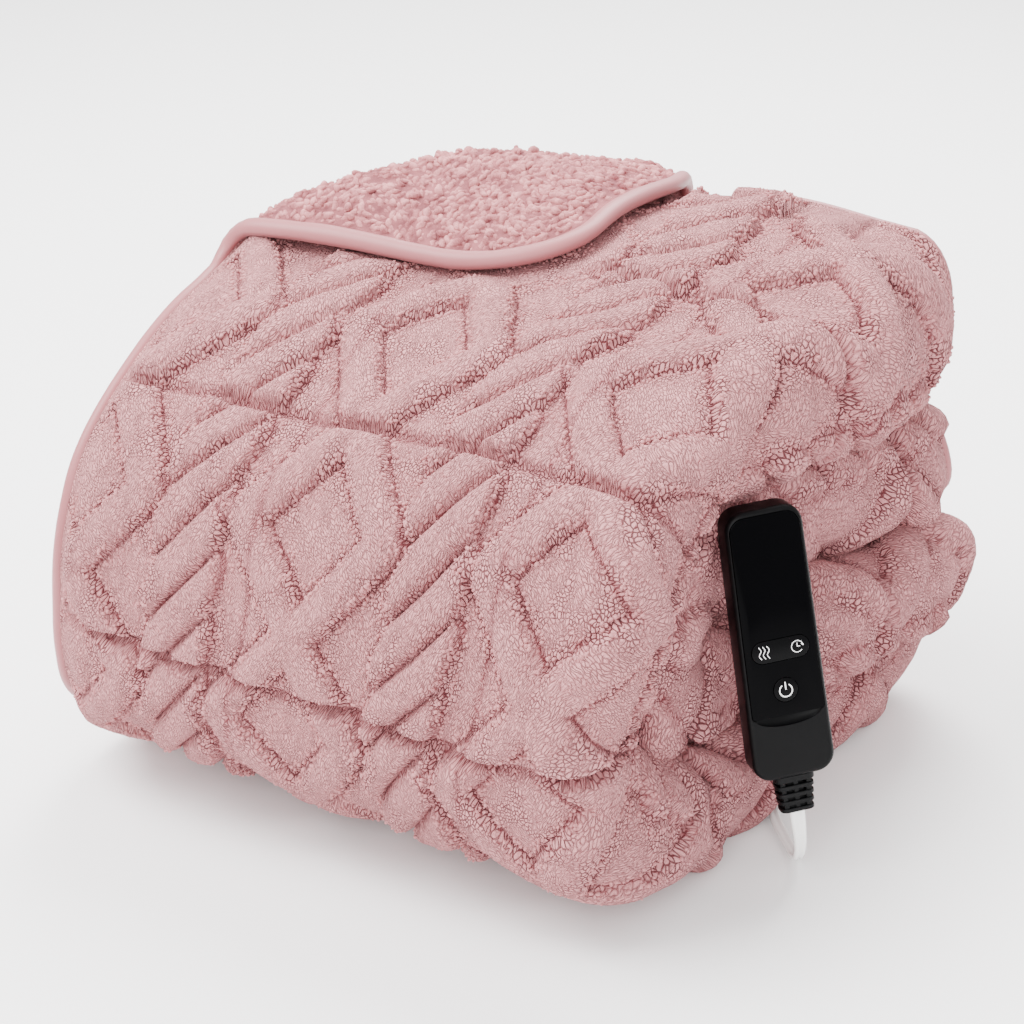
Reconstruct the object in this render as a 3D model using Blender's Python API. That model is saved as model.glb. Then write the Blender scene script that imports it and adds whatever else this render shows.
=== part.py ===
"""An electric heated throw, folded in four one way and in four the other, with its hand controller and mains lead.

The throw is made flat, with its raised cable and diamond pattern, and one function folds it.
Metres, +Z up. The right end (+X) shows the rounded folds, the front (-Y) the cloth that wraps over.
"""

import math

import bmesh
import bpy
from mathutils import Matrix, Vector, noise

CLEAR = 0.0003
X, Y = Vector((1, 0, 0)), Vector((0, 1, 0))

# ---- The throw: driving sizes ----
PLY = 0.0146  # plush face, heating wires and sherpa back, sewn as one cloth
PLY_PITCH = 0.0161
STRIP_PITCH = 0.0662  # four plies and the air between two strips
PLY_LENGTH = 0.3300  # the flat stretch of a ply between its folds
LEFT_END = -0.1860

# The throw from its first hem to its second, across the strip: four plies and three folds.
#    name           length or radius   turn  steps
ACROSS = (
    ("outer_ply", PLY_LENGTH, 0, 5),
    ("outer_fold", 1.5 * PLY_PITCH, -1, 6),
    ("under_ply", PLY_LENGTH, 0, 5),
    ("hidden_fold", 0.5 * PLY_PITCH, -1, 4),
    ("third_ply", PLY_LENGTH, 0, 5),
    ("inner_fold", 0.5 * PLY_PITCH, 1, 4),
    ("second_ply", PLY_LENGTH, 0, 5),
)

# The same throw along the strip, from the hem at the top of the back to the hidden one.
#    name           length or radius   turn  steps
ALONG = (
    ("top", 0.1980, 0, 3),
    ("front_wrap", 1.5 * STRIP_PITCH, 1, 7),
    ("bottom", 0.1600, 0, 2),
    ("back_fold", 0.5 * STRIP_PITCH, 1, 4),
    ("second", 0.1580, 0, 2),
    ("middle_fold", 0.5 * STRIP_PITCH, -1, 4),
    ("third", 0.1870, 0, 3),
)
BACK_HEM = 0.1550  # Y of the top strip's hem
BOTTOM_MID = 1.5 * PLY_PITCH + PLY / 2  # height of the bottom strip's middle
TOP_MID = BOTTOM_MID + 3 * STRIP_PITCH

# How far the strip reaches to the left and to the right, X at places along it.
#    run           share   left    right
ENDS = (
    ("top", 0.0, -0.174, 0.195),
    ("top", 0.5, -0.174, 0.200),
    ("top", 0.8, -0.172, 0.180),
    ("top", 1.0, -0.168, 0.156),
    ("front_wrap", 0.35, -0.167, 0.162),
    ("front_wrap", 0.60, -0.176, 0.148),
    ("front_wrap", 0.80, -0.184, 0.164),
    ("bottom", 0.0, -0.178, 0.171),
    ("bottom", 0.6, -0.164, 0.174),
    ("back_fold", 0.3, -0.160, 0.187),
    ("back_fold", 0.9, -0.160, 0.212),
    ("second", 0.4, -0.162, 0.200),
    ("second", 0.8, -0.164, 0.166),
    ("second", 1.0, -0.166, 0.154),
    ("middle_fold", 0.5, -0.168, 0.148),
    ("third", 0.2, -0.170, 0.156),
    ("third", 0.6, -0.168, 0.184),
    ("third", 1.0, -0.166, 0.200),
)

WAVES = ((14.4, 0.4, 0.5), (12.4, 10.3, 7.8), (8.7, 11.4, 12.1))  # of the unevenness along X, Y and Z

# ---- The turned-back corner ----
CORNER_FOLD = Vector((LEFT_END, -0.020))  # where the crease leaves the left hem
CORNER_DIRECTION = Vector((1.0, 1.0)).normalized()
CORNER_PULLED = 0.040  # how far the top ply's corner was pulled out behind the others
CORNER_ROLL = (0.0085, 0.0115, 0.0082)  # radius of the turn at the left hem, midway and at the back hem
CORNER_DROOP = 20.0  # sag of what hangs over the back, per metre of overhang squared
HEM_ROUND = 0.050
HEM_TAPER = 0.016
HEM_THIN = 0.55  # of the thickness, where the binding squeezes the pile
BINDING_RADIUS = 0.0043
BINDING_GAP = 0.0007

# ---- The raised pattern ----
TILE_ACROSS = 0.155  # a cable column and a diamond column
CABLE_MIDDLE = 0.0905  # from the left hem
CABLE_HALF = 0.022
LOBE_PITCH = 0.0285  # along the cable, from one slanting lobe to the next
LOBE_START = 0.0040
NODE = 0.2510  # along, where the bars of two diamonds meet
DIAMOND_PITCH = 0.0880
DIAMOND_HALF = 0.0450
BAR = 0.0260
SEAM_PITCH = 0.1160  # one sewn row lies on the node
RAISED = 0.0040
SEAM = 0.0024
CELL = 0.0112  # of the faces that show the pattern
PRESSED = (0.200, 0.152)  # across and along: the pile is flat where the turned-back corner lies on it

# ---- The controller: X across its face, Y up its length, Z out of the face ----
FACE_AT = Vector((0.1880, -0.0464, 0.1329))
FACE_TURN, FACE_PITCH, FACE_ROLL = math.radians(42), math.radians(12), math.radians(6.6)
PLACE = (
    Matrix.Translation(FACE_AT)
    @ Matrix.Rotation(FACE_TURN, 4, "Z")
    @ Matrix.Rotation(math.pi / 2 - FACE_PITCH, 4, "X")
    @ Matrix.Rotation(FACE_ROLL, 4, "Z")
)
BODY_LENGTH = 0.1415
BODY_TOP_WIDTH = 0.0398
BODY_BOTTOM_WIDTH = 0.0432
BODY_THICK = 0.018
BODY_CORNER = 0.0100
BODY_EDGE = 0.0028
PANEL_TOP = BODY_LENGTH / 2 - 0.0030
PANEL_BOTTOM = -0.0370
PANEL_WIDTH = 0.0366
PANEL_CORNER = 0.0075
PANEL_DEEP = 0.0016
PILL_SIZE = (0.0300, 0.0115)
PILL_UP = -0.0022
POWER_RADIUS = 0.0063
POWER_UP = -0.0235
BUTTON_PROUD = 0.0005
BUTTON_TRAVEL = 0.0008
BUTTON_THICK = 0.0022
RELIEF_WIDE, RELIEF_DEEP = 0.0210, 0.0130
RELIEF_LENGTH = 0.0200
RELIEF_RIBS = 4

# ---- The mains lead ----
CORD = 0.0060
CORD_LOW = CORD / 2 + CLEAR
LEAD_LENGTH = 1.800
LEAD_BEND = 0.024
COIL_AT = Vector((0.0400, 0.2560))
COIL_RADII = (0.0306, 0.0366)
COIL_LAYERS = 3
COIL_HIGH = COIL_LAYERS * CORD + CLEAR
COIL_OUTSIDE = COIL_RADII[-1] + CORD / 2 + CLEAR
PLUG_AT = Vector((-0.0360, 0.2925, 0.0093))  # where the lead enters the plug
PLUG_LENGTH, PLUG_WIDE, PLUG_DEEP = 0.0330, 0.0240, 0.0180
PLUG_NECK = 0.0100
BLADE_LENGTH, BLADE_WIDE, BLADE_THICK = 0.0170, 0.0063, 0.0015
BLADES_APART = 0.0127

RELIEF_DOWN = -(PLACE.to_3x3() @ Vector((0, 1, 0)))
RELIEF_END = PLACE @ Vector((0, -BODY_LENGTH / 2 - RELIEF_LENGTH - CLEAR, -BODY_THICK / 2))


def lead_bend():
    """The lead hangs straight out of the strain relief, then turns onto the floor and towards the throw."""
    heading = Vector((-0.64, 0.77, 0)).normalized()
    side = (heading - RELIEF_DOWN * heading.dot(RELIEF_DOWN)).normalized()
    angle = RELIEF_DOWN.angle(heading)
    fall = LEAD_BEND * (side * (1 - math.cos(angle)) + RELIEF_DOWN * math.sin(angle)).z
    start = RELIEF_END + RELIEF_DOWN * ((RELIEF_END.z + fall - CORD_LOW) / -RELIEF_DOWN.z)
    for i in range(7):
        turned = angle * i / 6
        yield start + LEAD_BEND * (side * (1 - math.cos(turned)) + RELIEF_DOWN * math.sin(turned))


# Where the lead runs from the controller, under the rounded end of the bottom strip, to its coil behind.
LEAD_ROUTE = (
    RELIEF_END,
    *lead_bend(),
    (0.1740, -0.0060, CORD_LOW),
    (0.1660, 0.0100, CORD_LOW),
    (0.1615, 0.0300, CORD_LOW),
    (0.1600, 0.0550, CORD_LOW),
    (0.1600, 0.0850, CORD_LOW),
    (0.1600, 0.1150, CORD_LOW),
    (0.1590, 0.1450, CORD_LOW),
    (0.1540, 0.1740, CORD_LOW),
    (0.1430, 0.2010, CORD_LOW),
    (0.1260, 0.2270, CORD_LOW),
    (0.1080, 0.2510, CORD_LOW),
    (0.0890, 0.2740, CORD_LOW),
    (0.0680, 0.2915, CORD_LOW),
    (0.0490, 0.2987, CORD_LOW),
)
TAIL_ROUTE = (
    (0.0173, 0.2922, CORD_LOW + 2 * CORD),
    (0.0020, 0.2925, 0.0135),
    (-0.0140, 0.2925, 0.0104),
    (-0.0280, 0.2925, 0.0093),
    (PLUG_AT.x + CLEAR, PLUG_AT.y, PLUG_AT.z),
)
GROOVE = 0.0075  # how high the cloth stands clear of the lead under it


def run_lengths(rows):
    return [math.pi * size if turn else size for _, size, turn, _ in rows]


def run_starts(rows):
    begin, found = 0.0, {}
    for (name, *_), length in zip(rows, run_lengths(rows)):
        found[name] = (begin, length)
        begin += length
    return found


THROW_WIDTH = sum(run_lengths(ACROSS))
THROW_LENGTH = sum(run_lengths(ALONG))
ACROSS_AT = run_starts(ACROSS)
ALONG_AT = run_starts(ALONG)
END_STATIONS = [
    (ALONG_AT[name][0] + share * ALONG_AT[name][1], left, right) for name, share, left, right in ENDS
]


def smooth(low, high, value):
    t = min(max((value - low) / (high - low), 0.0), 1.0)
    return t * t * (3 - 2 * t)


def walk(rows, distance, start, heading):
    """The place and the heading after that distance along a row of flats and half-round folds."""
    place = Vector(start)
    for number, ((_, size, turn, _), length) in enumerate(zip(rows, run_lengths(rows))):
        part = distance if number == len(rows) - 1 else min(distance, length)
        forward = Vector((math.cos(heading), math.sin(heading)))
        if turn:
            angle = part / size
            side = Vector((-forward.y, forward.x)) * turn
            place += forward * size * math.sin(angle) + side * size * (1 - math.cos(angle))
            heading += turn * angle
        else:
            place += forward * part
        distance -= part
        if distance <= 0:
            break
    return place, heading


def ends_at(along):
    """Left and right reach at that distance along the strip."""
    before = END_STATIONS[0]
    for station in END_STATIONS[1:]:
        if station[0] >= along:
            t = smooth(before[0], station[0], along)
            return tuple(a + (b - a) * t for a, b in zip(before[1:], station[1:]))
        before = station
    return before[1:]


def settled(point):
    """How the soft stack settles: lower at its front, puffed up at its open back, uneven all over."""
    x, y, z = point
    right = smooth(0.02, 0.20, x)
    left = smooth(-0.10, -0.19, x)
    lift = -0.055 + 0.195 * smooth(-0.12, 0.15, y)
    lift -= 0.03 * right * smooth(0.02, -0.12, y) + 0.03 * left * smooth(0.05, 0.16, y)
    lift -= 0.06 * smooth(0.09, 0.01, x) * smooth(-0.14, -0.04, x) * smooth(0.06, 0.16, y)
    lift -= 0.03 * smooth(0.08, 0.18, x) * smooth(0.04, 0.14, y)
    sink = 0.019 * smooth(0.05, 0.18, x) * smooth(-0.02, 0.12, y) * smooth(0.0, 0.17, z) * smooth(0.27, 0.20, z)
    swell = 0.013 * smooth(-0.02, -0.13, y) * smooth(0.0, 0.03, z) * smooth(0.13, 0.05, z)
    x += 0.012 * smooth(0.12, 0.19, x) * smooth(0.05, 0.13, y) * smooth(0.085, 0.131, z) * smooth(0.177, 0.131, z)
    wave = Vector([noise.noise(Vector((x, y, z)) * 7.0 + Vector(seed)) for seed in WAVES]) * smooth(0.0, 0.05, z)
    return Vector((x + 0.006 * wave.x, y - swell + 0.007 * wave.y, z * (1 + lift) - sink + 0.006 * wave.z))


def turned_back(middle, lean):
    """The top ply's back left corner is folded over, which shows the sherpa side."""
    outward = Vector((-CORNER_DIRECTION.y, CORNER_DIRECTION.x))
    offset = middle.xy - CORNER_FOLD
    past = offset.dot(outward)
    if past > 0:
        begin, halfway, end = CORNER_ROLL
        reach = offset.dot(CORNER_DIRECTION)
        roll = begin + (halfway - begin) * smooth(0.0, 0.10, reach) + (end - halfway) * smooth(0.12, 0.28, reach)
        angle = min(past / roll, math.pi)
        rest = max(past - math.pi * roll, 0.0)
        flat = middle.xy + outward * (roll * math.sin(angle) - rest - past)
        lean = Vector((-outward.x * math.sin(angle), -outward.y * math.sin(angle), math.cos(angle)))
        rise = roll * (1 - math.cos(angle)) - (2 * roll - PLY_PITCH) * smooth(0.0, 0.07, rest)
        middle = Vector((flat.x, flat.y, middle.z + rise))
    middle.z -= CORNER_DROOP * max(middle.y - BACK_HEM, 0.0) ** 2
    return middle, lean


def folded(flat):
    """Where a point of the flat throw, (across, along, height over its middle), lies when it is folded."""
    across, along, height = flat
    (x, up), turn_x = walk(ACROSS, across, (LEFT_END, 1.5 * PLY_PITCH), 0.0)
    (y, z), turn_y = walk(ALONG, along, (BACK_HEM, TOP_MID), math.pi)
    outward = Vector((0, math.sin(turn_y), -math.cos(turn_y)))
    middle = Vector((x, y, z)) + outward * up
    lean = Vector((-math.sin(turn_x), 0, 0)) + outward * math.cos(turn_x)
    if across < ACROSS_AT["outer_ply"][1] and along < ALONG_AT["top"][1]:
        middle.y += CORNER_PULLED * smooth(0.08, -0.06, middle.x) * (1 - along / ALONG_AT["top"][1])
        middle, lean = turned_back(middle, lean)
    place = middle + lean * height
    left, right = ends_at(along)
    reach = PLY_LENGTH + 1.5 * PLY_PITCH + PLY / 2
    place.x = left + (place.x - LEFT_END) / reach * (right - left)
    return settled(place)


def trimmed(flat):
    """The flat throw's corners are cut round, and its pile thins towards the binding."""
    across, along, height = flat
    u = HEM_ROUND - min(across, THROW_WIDTH - across)
    v = HEM_ROUND - min(along, THROW_LENGTH - along)
    if u > 0 and v > 0:
        pull = 1 - max(u, v) / math.hypot(u, v)
        across += u * pull if across < THROW_WIDTH / 2 else -u * pull
        along += v * pull if along < THROW_LENGTH / 2 else -v * pull
        from_hem = HEM_ROUND - max(u, v)
    else:
        from_hem = HEM_ROUND - max(u, v)
    return across, along, height * (HEM_THIN + (1 - HEM_THIN) * smooth(0.0, HEM_TAPER, from_hem))


def raised(across, along):
    """Height of the raised pattern at a place of the flat throw: cables, diamonds and sewn seams."""
    column = (across - CABLE_MIDDLE + TILE_ACROSS / 2) % TILE_ACROSS - TILE_ACROSS / 2
    lobe = (along + column - LOBE_START) / LOBE_PITCH + 0.5
    cable = 1 - (2 * (lobe % 1.0) - 1) ** 4
    cable *= 1 - smooth(0.80, 1.25, abs(column) / CABLE_HALF)
    side = abs(abs(column) - TILE_ACROSS / 2)
    edge = DIAMOND_HALF * (1 - abs(2 * ((along - NODE) / DIAMOND_PITCH % 1.0) - 1))
    bar = 1 - smooth(0.35, 0.75, abs(side - edge) / BAR)
    row = (along - NODE) / SEAM_PITCH % 1.0
    seam = 1 - smooth(0.0, 0.008, min(row, 1 - row) * SEAM_PITCH)
    flattened = max(smooth(0, 0.02, across - PRESSED[0]), smooth(0, 0.02, along - PRESSED[1]))
    flattened *= smooth(0.0, HEM_TAPER, min(across, along))
    return (RAISED * max(cable, bar) * (1 - seam) - SEAM * seam) * flattened


def lead_x(y):
    """X of the lead's route where it passes under the throw."""
    for (x0, y0, _), (x1, y1, _) in zip(LEAD_ROUTE, LEAD_ROUTE[1:]):
        if y0 <= y <= y1:
            return x0 + (x1 - x0) * (y - y0) / (y1 - y0)
    return None


def clear_of_lead(point):
    """The bottom strip's rounded end is pressed up a little where the lead lies under it."""
    x = lead_x(point.y)
    if x is not None and point.z < GROOVE:
        room = GROOVE * (1 - smooth(CORD / 2 + 0.0015, CORD / 2 + 0.0075, abs(point.x - x)))
        point.z = max(point.z, room)
    return point


def cut_lines(bm, faces, normal, places):
    """Cuts those faces of the flat throw along parallel lines, at those distances along the normal."""
    for place in places:
        parts = [*faces, *(e for face in faces for e in face.edges), *(v for face in faces for v in face.verts)]
        geometry = list(dict.fromkeys(parts))
        cut = bmesh.ops.bisect_plane(bm, geom=geometry, dist=1e-7, plane_co=normal * place, plane_no=normal)
        faces = [f for f in cut["geom"] if isinstance(f, bmesh.types.BMFace)]
    return faces


def middle_of(face):
    return face.calc_center_median()


def fold_lines(rows):
    """Where the flat throw is divided: finely in its folds and coarsely between them."""
    lines = []
    for (*_, steps), (begin, length) in zip(rows, run_starts(rows).values()):
        lines += [begin + length * i / steps for i in range(steps)]
    return lines[1:]


def spaced(first, last, step):
    count = max(1, round((last - first) / step))
    return [first + (last - first) * i / count for i in range(1, count)]


SHOWN_ACROSS = sum(ACROSS_AT["outer_fold"])
SHOWN_ALONG = ALONG_AT["front_wrap"][0] + 0.78 * ALONG_AT["front_wrap"][1]
CORNER_ACROSS, CORNER_ALONG = 0.20, 0.16
HEM_BAND = 0.050
# Where the turned-back corner's crease crosses the back hem and the left hem, and its distance from the corner.
CREASE_AT_BACK, CREASE_AT_LEFT = (0.140, 0.215), (0.130, 0.195)
CREASE_OFF = 0.1345
CREASE_CELL = 0.0050


def material(name, colour, roughness, metallic=0.0):
    made = bpy.data.materials.new(name)
    made.use_nodes = True
    shader = made.node_tree.nodes["Principled BSDF"]
    shader.inputs["Base Color"].default_value = (*colour, 1)
    shader.inputs["Roughness"].default_value = roughness
    shader.inputs["Metallic"].default_value = metallic
    return made


def add_object(mesh, name, collection, paint, smooth_angle=40):
    mesh.shade_smooth()
    mesh.set_sharp_from_angle(angle=math.radians(smooth_angle))
    obj = bpy.data.objects.new(name, mesh)
    mesh.materials.clear()
    mesh.materials.append(paint)
    collection.objects.link(obj)
    return obj


def to_mesh(bm, name):
    mesh = bpy.data.meshes.new(name)
    bm.to_mesh(mesh)
    bm.free()
    return mesh


def curve_mesh(name, points, radius, resolution, cyclic=False):
    """A round tube through the points, as a closed mesh."""
    curve = bpy.data.curves.new(name, "CURVE")
    curve.dimensions = "3D"
    curve.bevel_depth = radius
    curve.bevel_resolution = resolution
    curve.use_fill_caps = True
    spline = curve.splines.new("POLY")
    spline.points.add(len(points) - 1)
    for target, point in zip(spline.points, points):
        target.co = (*point, 1)
    spline.use_cyclic_u = cyclic
    holder = bpy.data.objects.new(name, curve)
    bpy.context.scene.collection.objects.link(holder)
    mesh = bpy.data.meshes.new_from_object(holder.evaluated_get(bpy.context.evaluated_depsgraph_get()))
    bpy.data.objects.remove(holder)
    bm = bmesh.new()
    bm.from_mesh(mesh)
    bpy.data.meshes.remove(mesh)
    bmesh.ops.remove_doubles(bm, verts=bm.verts, dist=1e-6)
    bmesh.ops.recalc_face_normals(bm, faces=bm.faces)
    return bm


def make_throw(collection, paint):
    bm = bmesh.new()
    bmesh.ops.create_cube(bm, size=1.0)
    bmesh.ops.scale(bm, vec=(THROW_WIDTH, THROW_LENGTH, PLY), verts=bm.verts)
    bmesh.ops.translate(bm, vec=(THROW_WIDTH / 2, THROW_LENGTH / 2, 0), verts=bm.verts)
    cut_lines(bm, bm.faces[:], X, fold_lines(ACROSS))
    cut_lines(bm, bm.faces[:], Y, fold_lines(ALONG))

    def shows(face):
        x, y, _ = middle_of(face)
        if x > SHOWN_ACROSS or y > SHOWN_ALONG:
            return False
        corner = x < CORNER_ACROSS and y < CORNER_ALONG
        return face.normal.z > 0.5 or x < HEM_BAND or y < HEM_BAND or corner

    bm.normal_update()
    shown = [face for face in bm.faces if shows(face)]
    shown = cut_lines(bm, shown, X, spaced(0, SHOWN_ACROSS, CELL))
    shown = cut_lines(bm, shown, Y, spaced(0, SHOWN_ALONG, CELL))
    crease_x = [f for f in shown if middle_of(f).y < 0.02 and CREASE_AT_BACK[0] < middle_of(f).x < CREASE_AT_BACK[1]]
    cut_lines(bm, crease_x, X, spaced(*CREASE_AT_BACK, CREASE_CELL))
    crease_y = [f for f in bm.faces if middle_of(f).x < 0.02 and CREASE_AT_LEFT[0] < middle_of(f).y < CREASE_AT_LEFT[1]]
    cut_lines(bm, crease_y, Y, spaced(*CREASE_AT_LEFT, CREASE_CELL))
    crease = [f for f in bm.faces if max(middle_of(f).x - CREASE_AT_BACK[1], middle_of(f).y - CREASE_AT_LEFT[1]) < 0]
    cut_lines(bm, crease, (X + Y).normalized(), [CREASE_OFF - CREASE_CELL * 1.3 * i for i in range(6)])

    foot = (ACROSS_AT["outer_fold"][0] - 0.014, ACROSS_AT["outer_fold"][0] + 0.026)
    under = (ALONG_AT["bottom"][0] - 0.02, ALONG_AT["back_fold"][0] + 0.04)
    over_lead = [
        face
        for face in bm.faces
        if face.normal.z > 0.5
        and foot[0] - 0.05 < middle_of(face).x < foot[1]
        and under[0] < middle_of(face).y < under[1]
    ]
    over_lead = cut_lines(bm, over_lead, X, spaced(*foot, 0.0045))
    cut_lines(bm, over_lead, Y, spaced(*under, 0.035))

    plush = {v for face in bm.faces if face.normal.z > 0.5 for v in face.verts}
    for vert in bm.verts:
        if vert in plush and vert.co.x < SHOWN_ACROSS and vert.co.y < SHOWN_ALONG:
            vert.co.z += raised(vert.co.x, vert.co.y)
    for vert in bm.verts:
        vert.co = clear_of_lead(folded(trimmed(vert.co)))
    bmesh.ops.triangulate(bm, faces=bm.faces)
    bmesh.ops.recalc_face_normals(bm, faces=bm.faces)
    return add_object(to_mesh(bm, "throw"), "throw", collection, paint)


def with_crease(stations, crease):
    """Those stations, with closer ones where the corner's crease crosses the hem."""
    first, last = crease
    return sorted([s for s in stations if not first < s < last] + spaced(first, last, CREASE_CELL))


def hem_path():
    """The binding's middle line around the flat throw, with its rounded corners."""
    off = BINDING_RADIUS + BINDING_GAP
    width, length, turn = THROW_WIDTH, THROW_LENGTH, HEM_ROUND
    coarse_x = [x for x in fold_lines(ACROSS) if turn < x < width - turn]
    coarse_y = [y for y in fold_lines(ALONG) if turn < y < length - turn]
    fine_x = [x for x in spaced(0, SHOWN_ACROSS, CELL) if x > turn]
    fine_y = [y for y in spaced(0, SHOWN_ALONG, CELL) if y > turn]
    back_x = with_crease(fine_x, CREASE_AT_BACK) + [x for x in coarse_x if x > SHOWN_ACROSS - 1e-6]
    left_y = with_crease(fine_y, CREASE_AT_LEFT) + [y for y in coarse_y if y > SHOWN_ALONG + 0.004]

    def corner(x, y, first):
        angles = [math.radians(first + 90 * i / 7) for i in range(8)]
        return [(x + (turn + off) * math.cos(a), y + (turn + off) * math.sin(a), 0) for a in angles]

    path = [(x, -off, 0) for x in back_x]
    path += corner(width - turn, turn, -90)
    path += [(width + off, y, 0) for y in coarse_y]
    path += corner(width - turn, length - turn, 0)
    path += [(x, length + off, 0) for x in reversed(coarse_x)]
    path += corner(turn, length - turn, 90)
    path += [(-off, y, 0) for y in reversed(left_y)]
    path += corner(turn, turn, 180)
    return path


def make_binding(collection, paint):
    bm = curve_mesh("binding", hem_path(), BINDING_RADIUS, 1, cyclic=True)
    for vert in bm.verts:
        vert.co = folded(vert.co)
    bmesh.ops.triangulate(bm, faces=bm.faces)
    bmesh.ops.recalc_face_normals(bm, faces=bm.faces)
    return add_object(to_mesh(bm, "binding"), "binding", collection, paint, 60)


def rounded_plate(width_top, width_bottom, top, bottom, corner, low, high, segments=5):
    """A plate with rounded corners, narrower at its top, between two heights."""
    bm = bmesh.new()
    bmesh.ops.create_cube(bm, size=1.0)
    bmesh.ops.scale(bm, vec=(1, top - bottom, high - low), verts=bm.verts)
    bmesh.ops.translate(bm, vec=(0, (top + bottom) / 2, (high + low) / 2), verts=bm.verts)
    for vert in bm.verts:
        vert.co.x *= width_top if vert.co.y > (top + bottom) / 2 else width_bottom
    upright = [e for e in bm.edges if abs(e.verts[0].co.z - e.verts[1].co.z) > (high - low) / 2]
    bmesh.ops.bevel(bm, geom=upright, offset=corner, segments=segments, affect="EDGES", profile=0.5)
    return bm


def bevel_rim(bm, height, width, segments):
    rim = [e for e in bm.edges if all(abs(v.co.z - height) < 1e-6 for v in e.verts) and len(e.link_faces) == 2]
    bmesh.ops.bevel(bm, geom=rim, offset=width, segments=segments, affect="EDGES", profile=0.5)


def cylinder(radius, low, high, sides=28):
    bm = bmesh.new()
    bmesh.ops.create_cone(
        bm, cap_ends=True, segments=sides, radius1=radius, radius2=radius, depth=high - low
    )
    bmesh.ops.translate(bm, vec=(0, 0, (low + high) / 2), verts=bm.verts)
    return bm


def cutter(bm, name, collection, parent, at):
    obj = bpy.data.objects.new(name, to_mesh(bm, name))
    obj.location = at
    obj.parent = parent
    obj.display_type = "WIRE"
    obj.hide_render = True
    collection.objects.link(obj)
    return obj


def cut(obj, tool):
    change = obj.modifiers.new(tool.name, "BOOLEAN")
    change.operation = "DIFFERENCE"
    change.solver = "EXACT"
    change.object = tool


def pill(grow, low, high):
    width, height = PILL_SIZE
    half = height / 2 + grow
    return rounded_plate(width + 2 * grow, width + 2 * grow, half, -half, half * 0.999, low, high, 10)


def make_controller(collection, cutters, black, gloss, cap):
    place = bpy.data.objects.new("controller_place", None)
    place.location = PLACE.translation
    place.rotation_euler = PLACE.to_euler()
    collection.objects.link(place)

    half = BODY_LENGTH / 2
    bm = rounded_plate(BODY_TOP_WIDTH, BODY_BOTTOM_WIDTH, half, -half, BODY_CORNER, -BODY_THICK, 0)
    bevel_rim(bm, 0, BODY_EDGE, 3)
    bevel_rim(bm, -BODY_THICK, BODY_EDGE, 2)
    housing = add_object(to_mesh(bm, "controller_housing"), "controller_housing", collection, black)
    housing.parent = place

    widths = (PANEL_WIDTH - 0.0008, PANEL_WIDTH + 0.0012)
    bm = rounded_plate(*widths, PANEL_TOP, PANEL_BOTTOM, PANEL_CORNER, -PANEL_DEEP, 0)
    face = add_object(to_mesh(bm, "controller_face"), "controller_face", collection, gloss)
    face.parent = place

    grown = [width + 2 * CLEAR for width in widths]
    bm = rounded_plate(
        *grown, PANEL_TOP + CLEAR, PANEL_BOTTOM - CLEAR, PANEL_CORNER + CLEAR, -PANEL_DEEP - CLEAR, 0.002
    )
    cut(housing, cutter(bm, "panel_recess", cutters, place, (0, 0, 0)))

    well = BUTTON_THICK - BUTTON_PROUD + BUTTON_TRAVEL + 2 * CLEAR
    buttons = (
        ("heat_timer_button", PILL_UP, pill),
        ("power_button", POWER_UP, lambda grow, low, high: cylinder(POWER_RADIUS + grow, low, high)),
    )
    for name, up, shape in buttons:
        at = (0, up, 0)
        hole = cutter(shape(0.00035, -well, 0.002), name + "_well", cutters, place, at)
        cut(face, hole)
        cut(housing, hole)
        bm = shape(0, BUTTON_PROUD - BUTTON_THICK, BUTTON_PROUD)
        bevel_rim(bm, BUTTON_PROUD, 0.0003, 2)
        button = add_object(to_mesh(bm, name), name, collection, cap)
        button.location = at
        button.parent = place


def make_strain_relief(collection, paint):
    """A ribbed sleeve of oval section that narrows towards the lead."""
    rings = []
    for i in range(RELIEF_RIBS):
        for share, width in ((0.0, 1.0), (0.55, 1.0), (0.62, 0.86), (0.93, 0.86)):
            along = (i + share) / RELIEF_RIBS
            rings.append((along, width * (1 - 0.16 * along)))
    rings.append((1.0, 0.84))
    bm = bmesh.new()
    steps = 16
    loops = []
    for along, scale in rings:
        ring = bmesh.ops.create_circle(bm, segments=steps, radius=1.0)["verts"]
        for vert in ring:
            vert.co = Vector(
                (
                    vert.co.x * RELIEF_WIDE / 2 * scale,
                    -BODY_LENGTH / 2 - CLEAR - along * (RELIEF_LENGTH - CLEAR),
                    -BODY_THICK / 2 + vert.co.y * RELIEF_DEEP / 2 * scale,
                )
            )
        loops.append(list(dict.fromkeys(e for v in ring for e in v.link_edges)))
    for first, second in zip(loops, loops[1:]):
        bmesh.ops.bridge_loops(bm, edges=first + second)
    for loop in (loops[0], loops[-1]):
        bmesh.ops.contextual_create(bm, geom=loop)
    bmesh.ops.recalc_face_normals(bm, faces=bm.faces)
    bmesh.ops.transform(bm, matrix=PLACE, verts=bm.verts)
    return add_object(to_mesh(bm, "strain_relief"), "strain_relief", collection, paint, 30)


def flowing(points, step):
    """Evenly spaced points on a smooth curve through the route's points."""
    points = [Vector(p) for p in points]
    padded = [2 * points[0] - points[1], *points, 2 * points[-1] - points[-2]]
    fine = []
    for a, b, c, d in zip(padded, padded[1:], padded[2:], padded[3:]):
        for i in range(24):
            t = i / 24
            fine.append(
                0.5 * (2 * b + (c - a) * t + (2 * a - 5 * b + 4 * c - d) * t**2 + (3 * b - a - 3 * c + d) * t**3)
            )
    fine.append(points[-1])
    total = sum((b - a).length for a, b in zip(fine, fine[1:]))
    count = max(2, round(total / step))
    spaced_out, gone, target = [fine[0]], 0.0, total / count
    for a, b in zip(fine, fine[1:]):
        length = (b - a).length
        while length and gone + length >= target - 1e-9 and len(spaced_out) < count:
            spaced_out.append(a.lerp(b, (target - gone) / length))
            target += total / count
        gone += length
    return spaced_out + [points[-1]]


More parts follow.
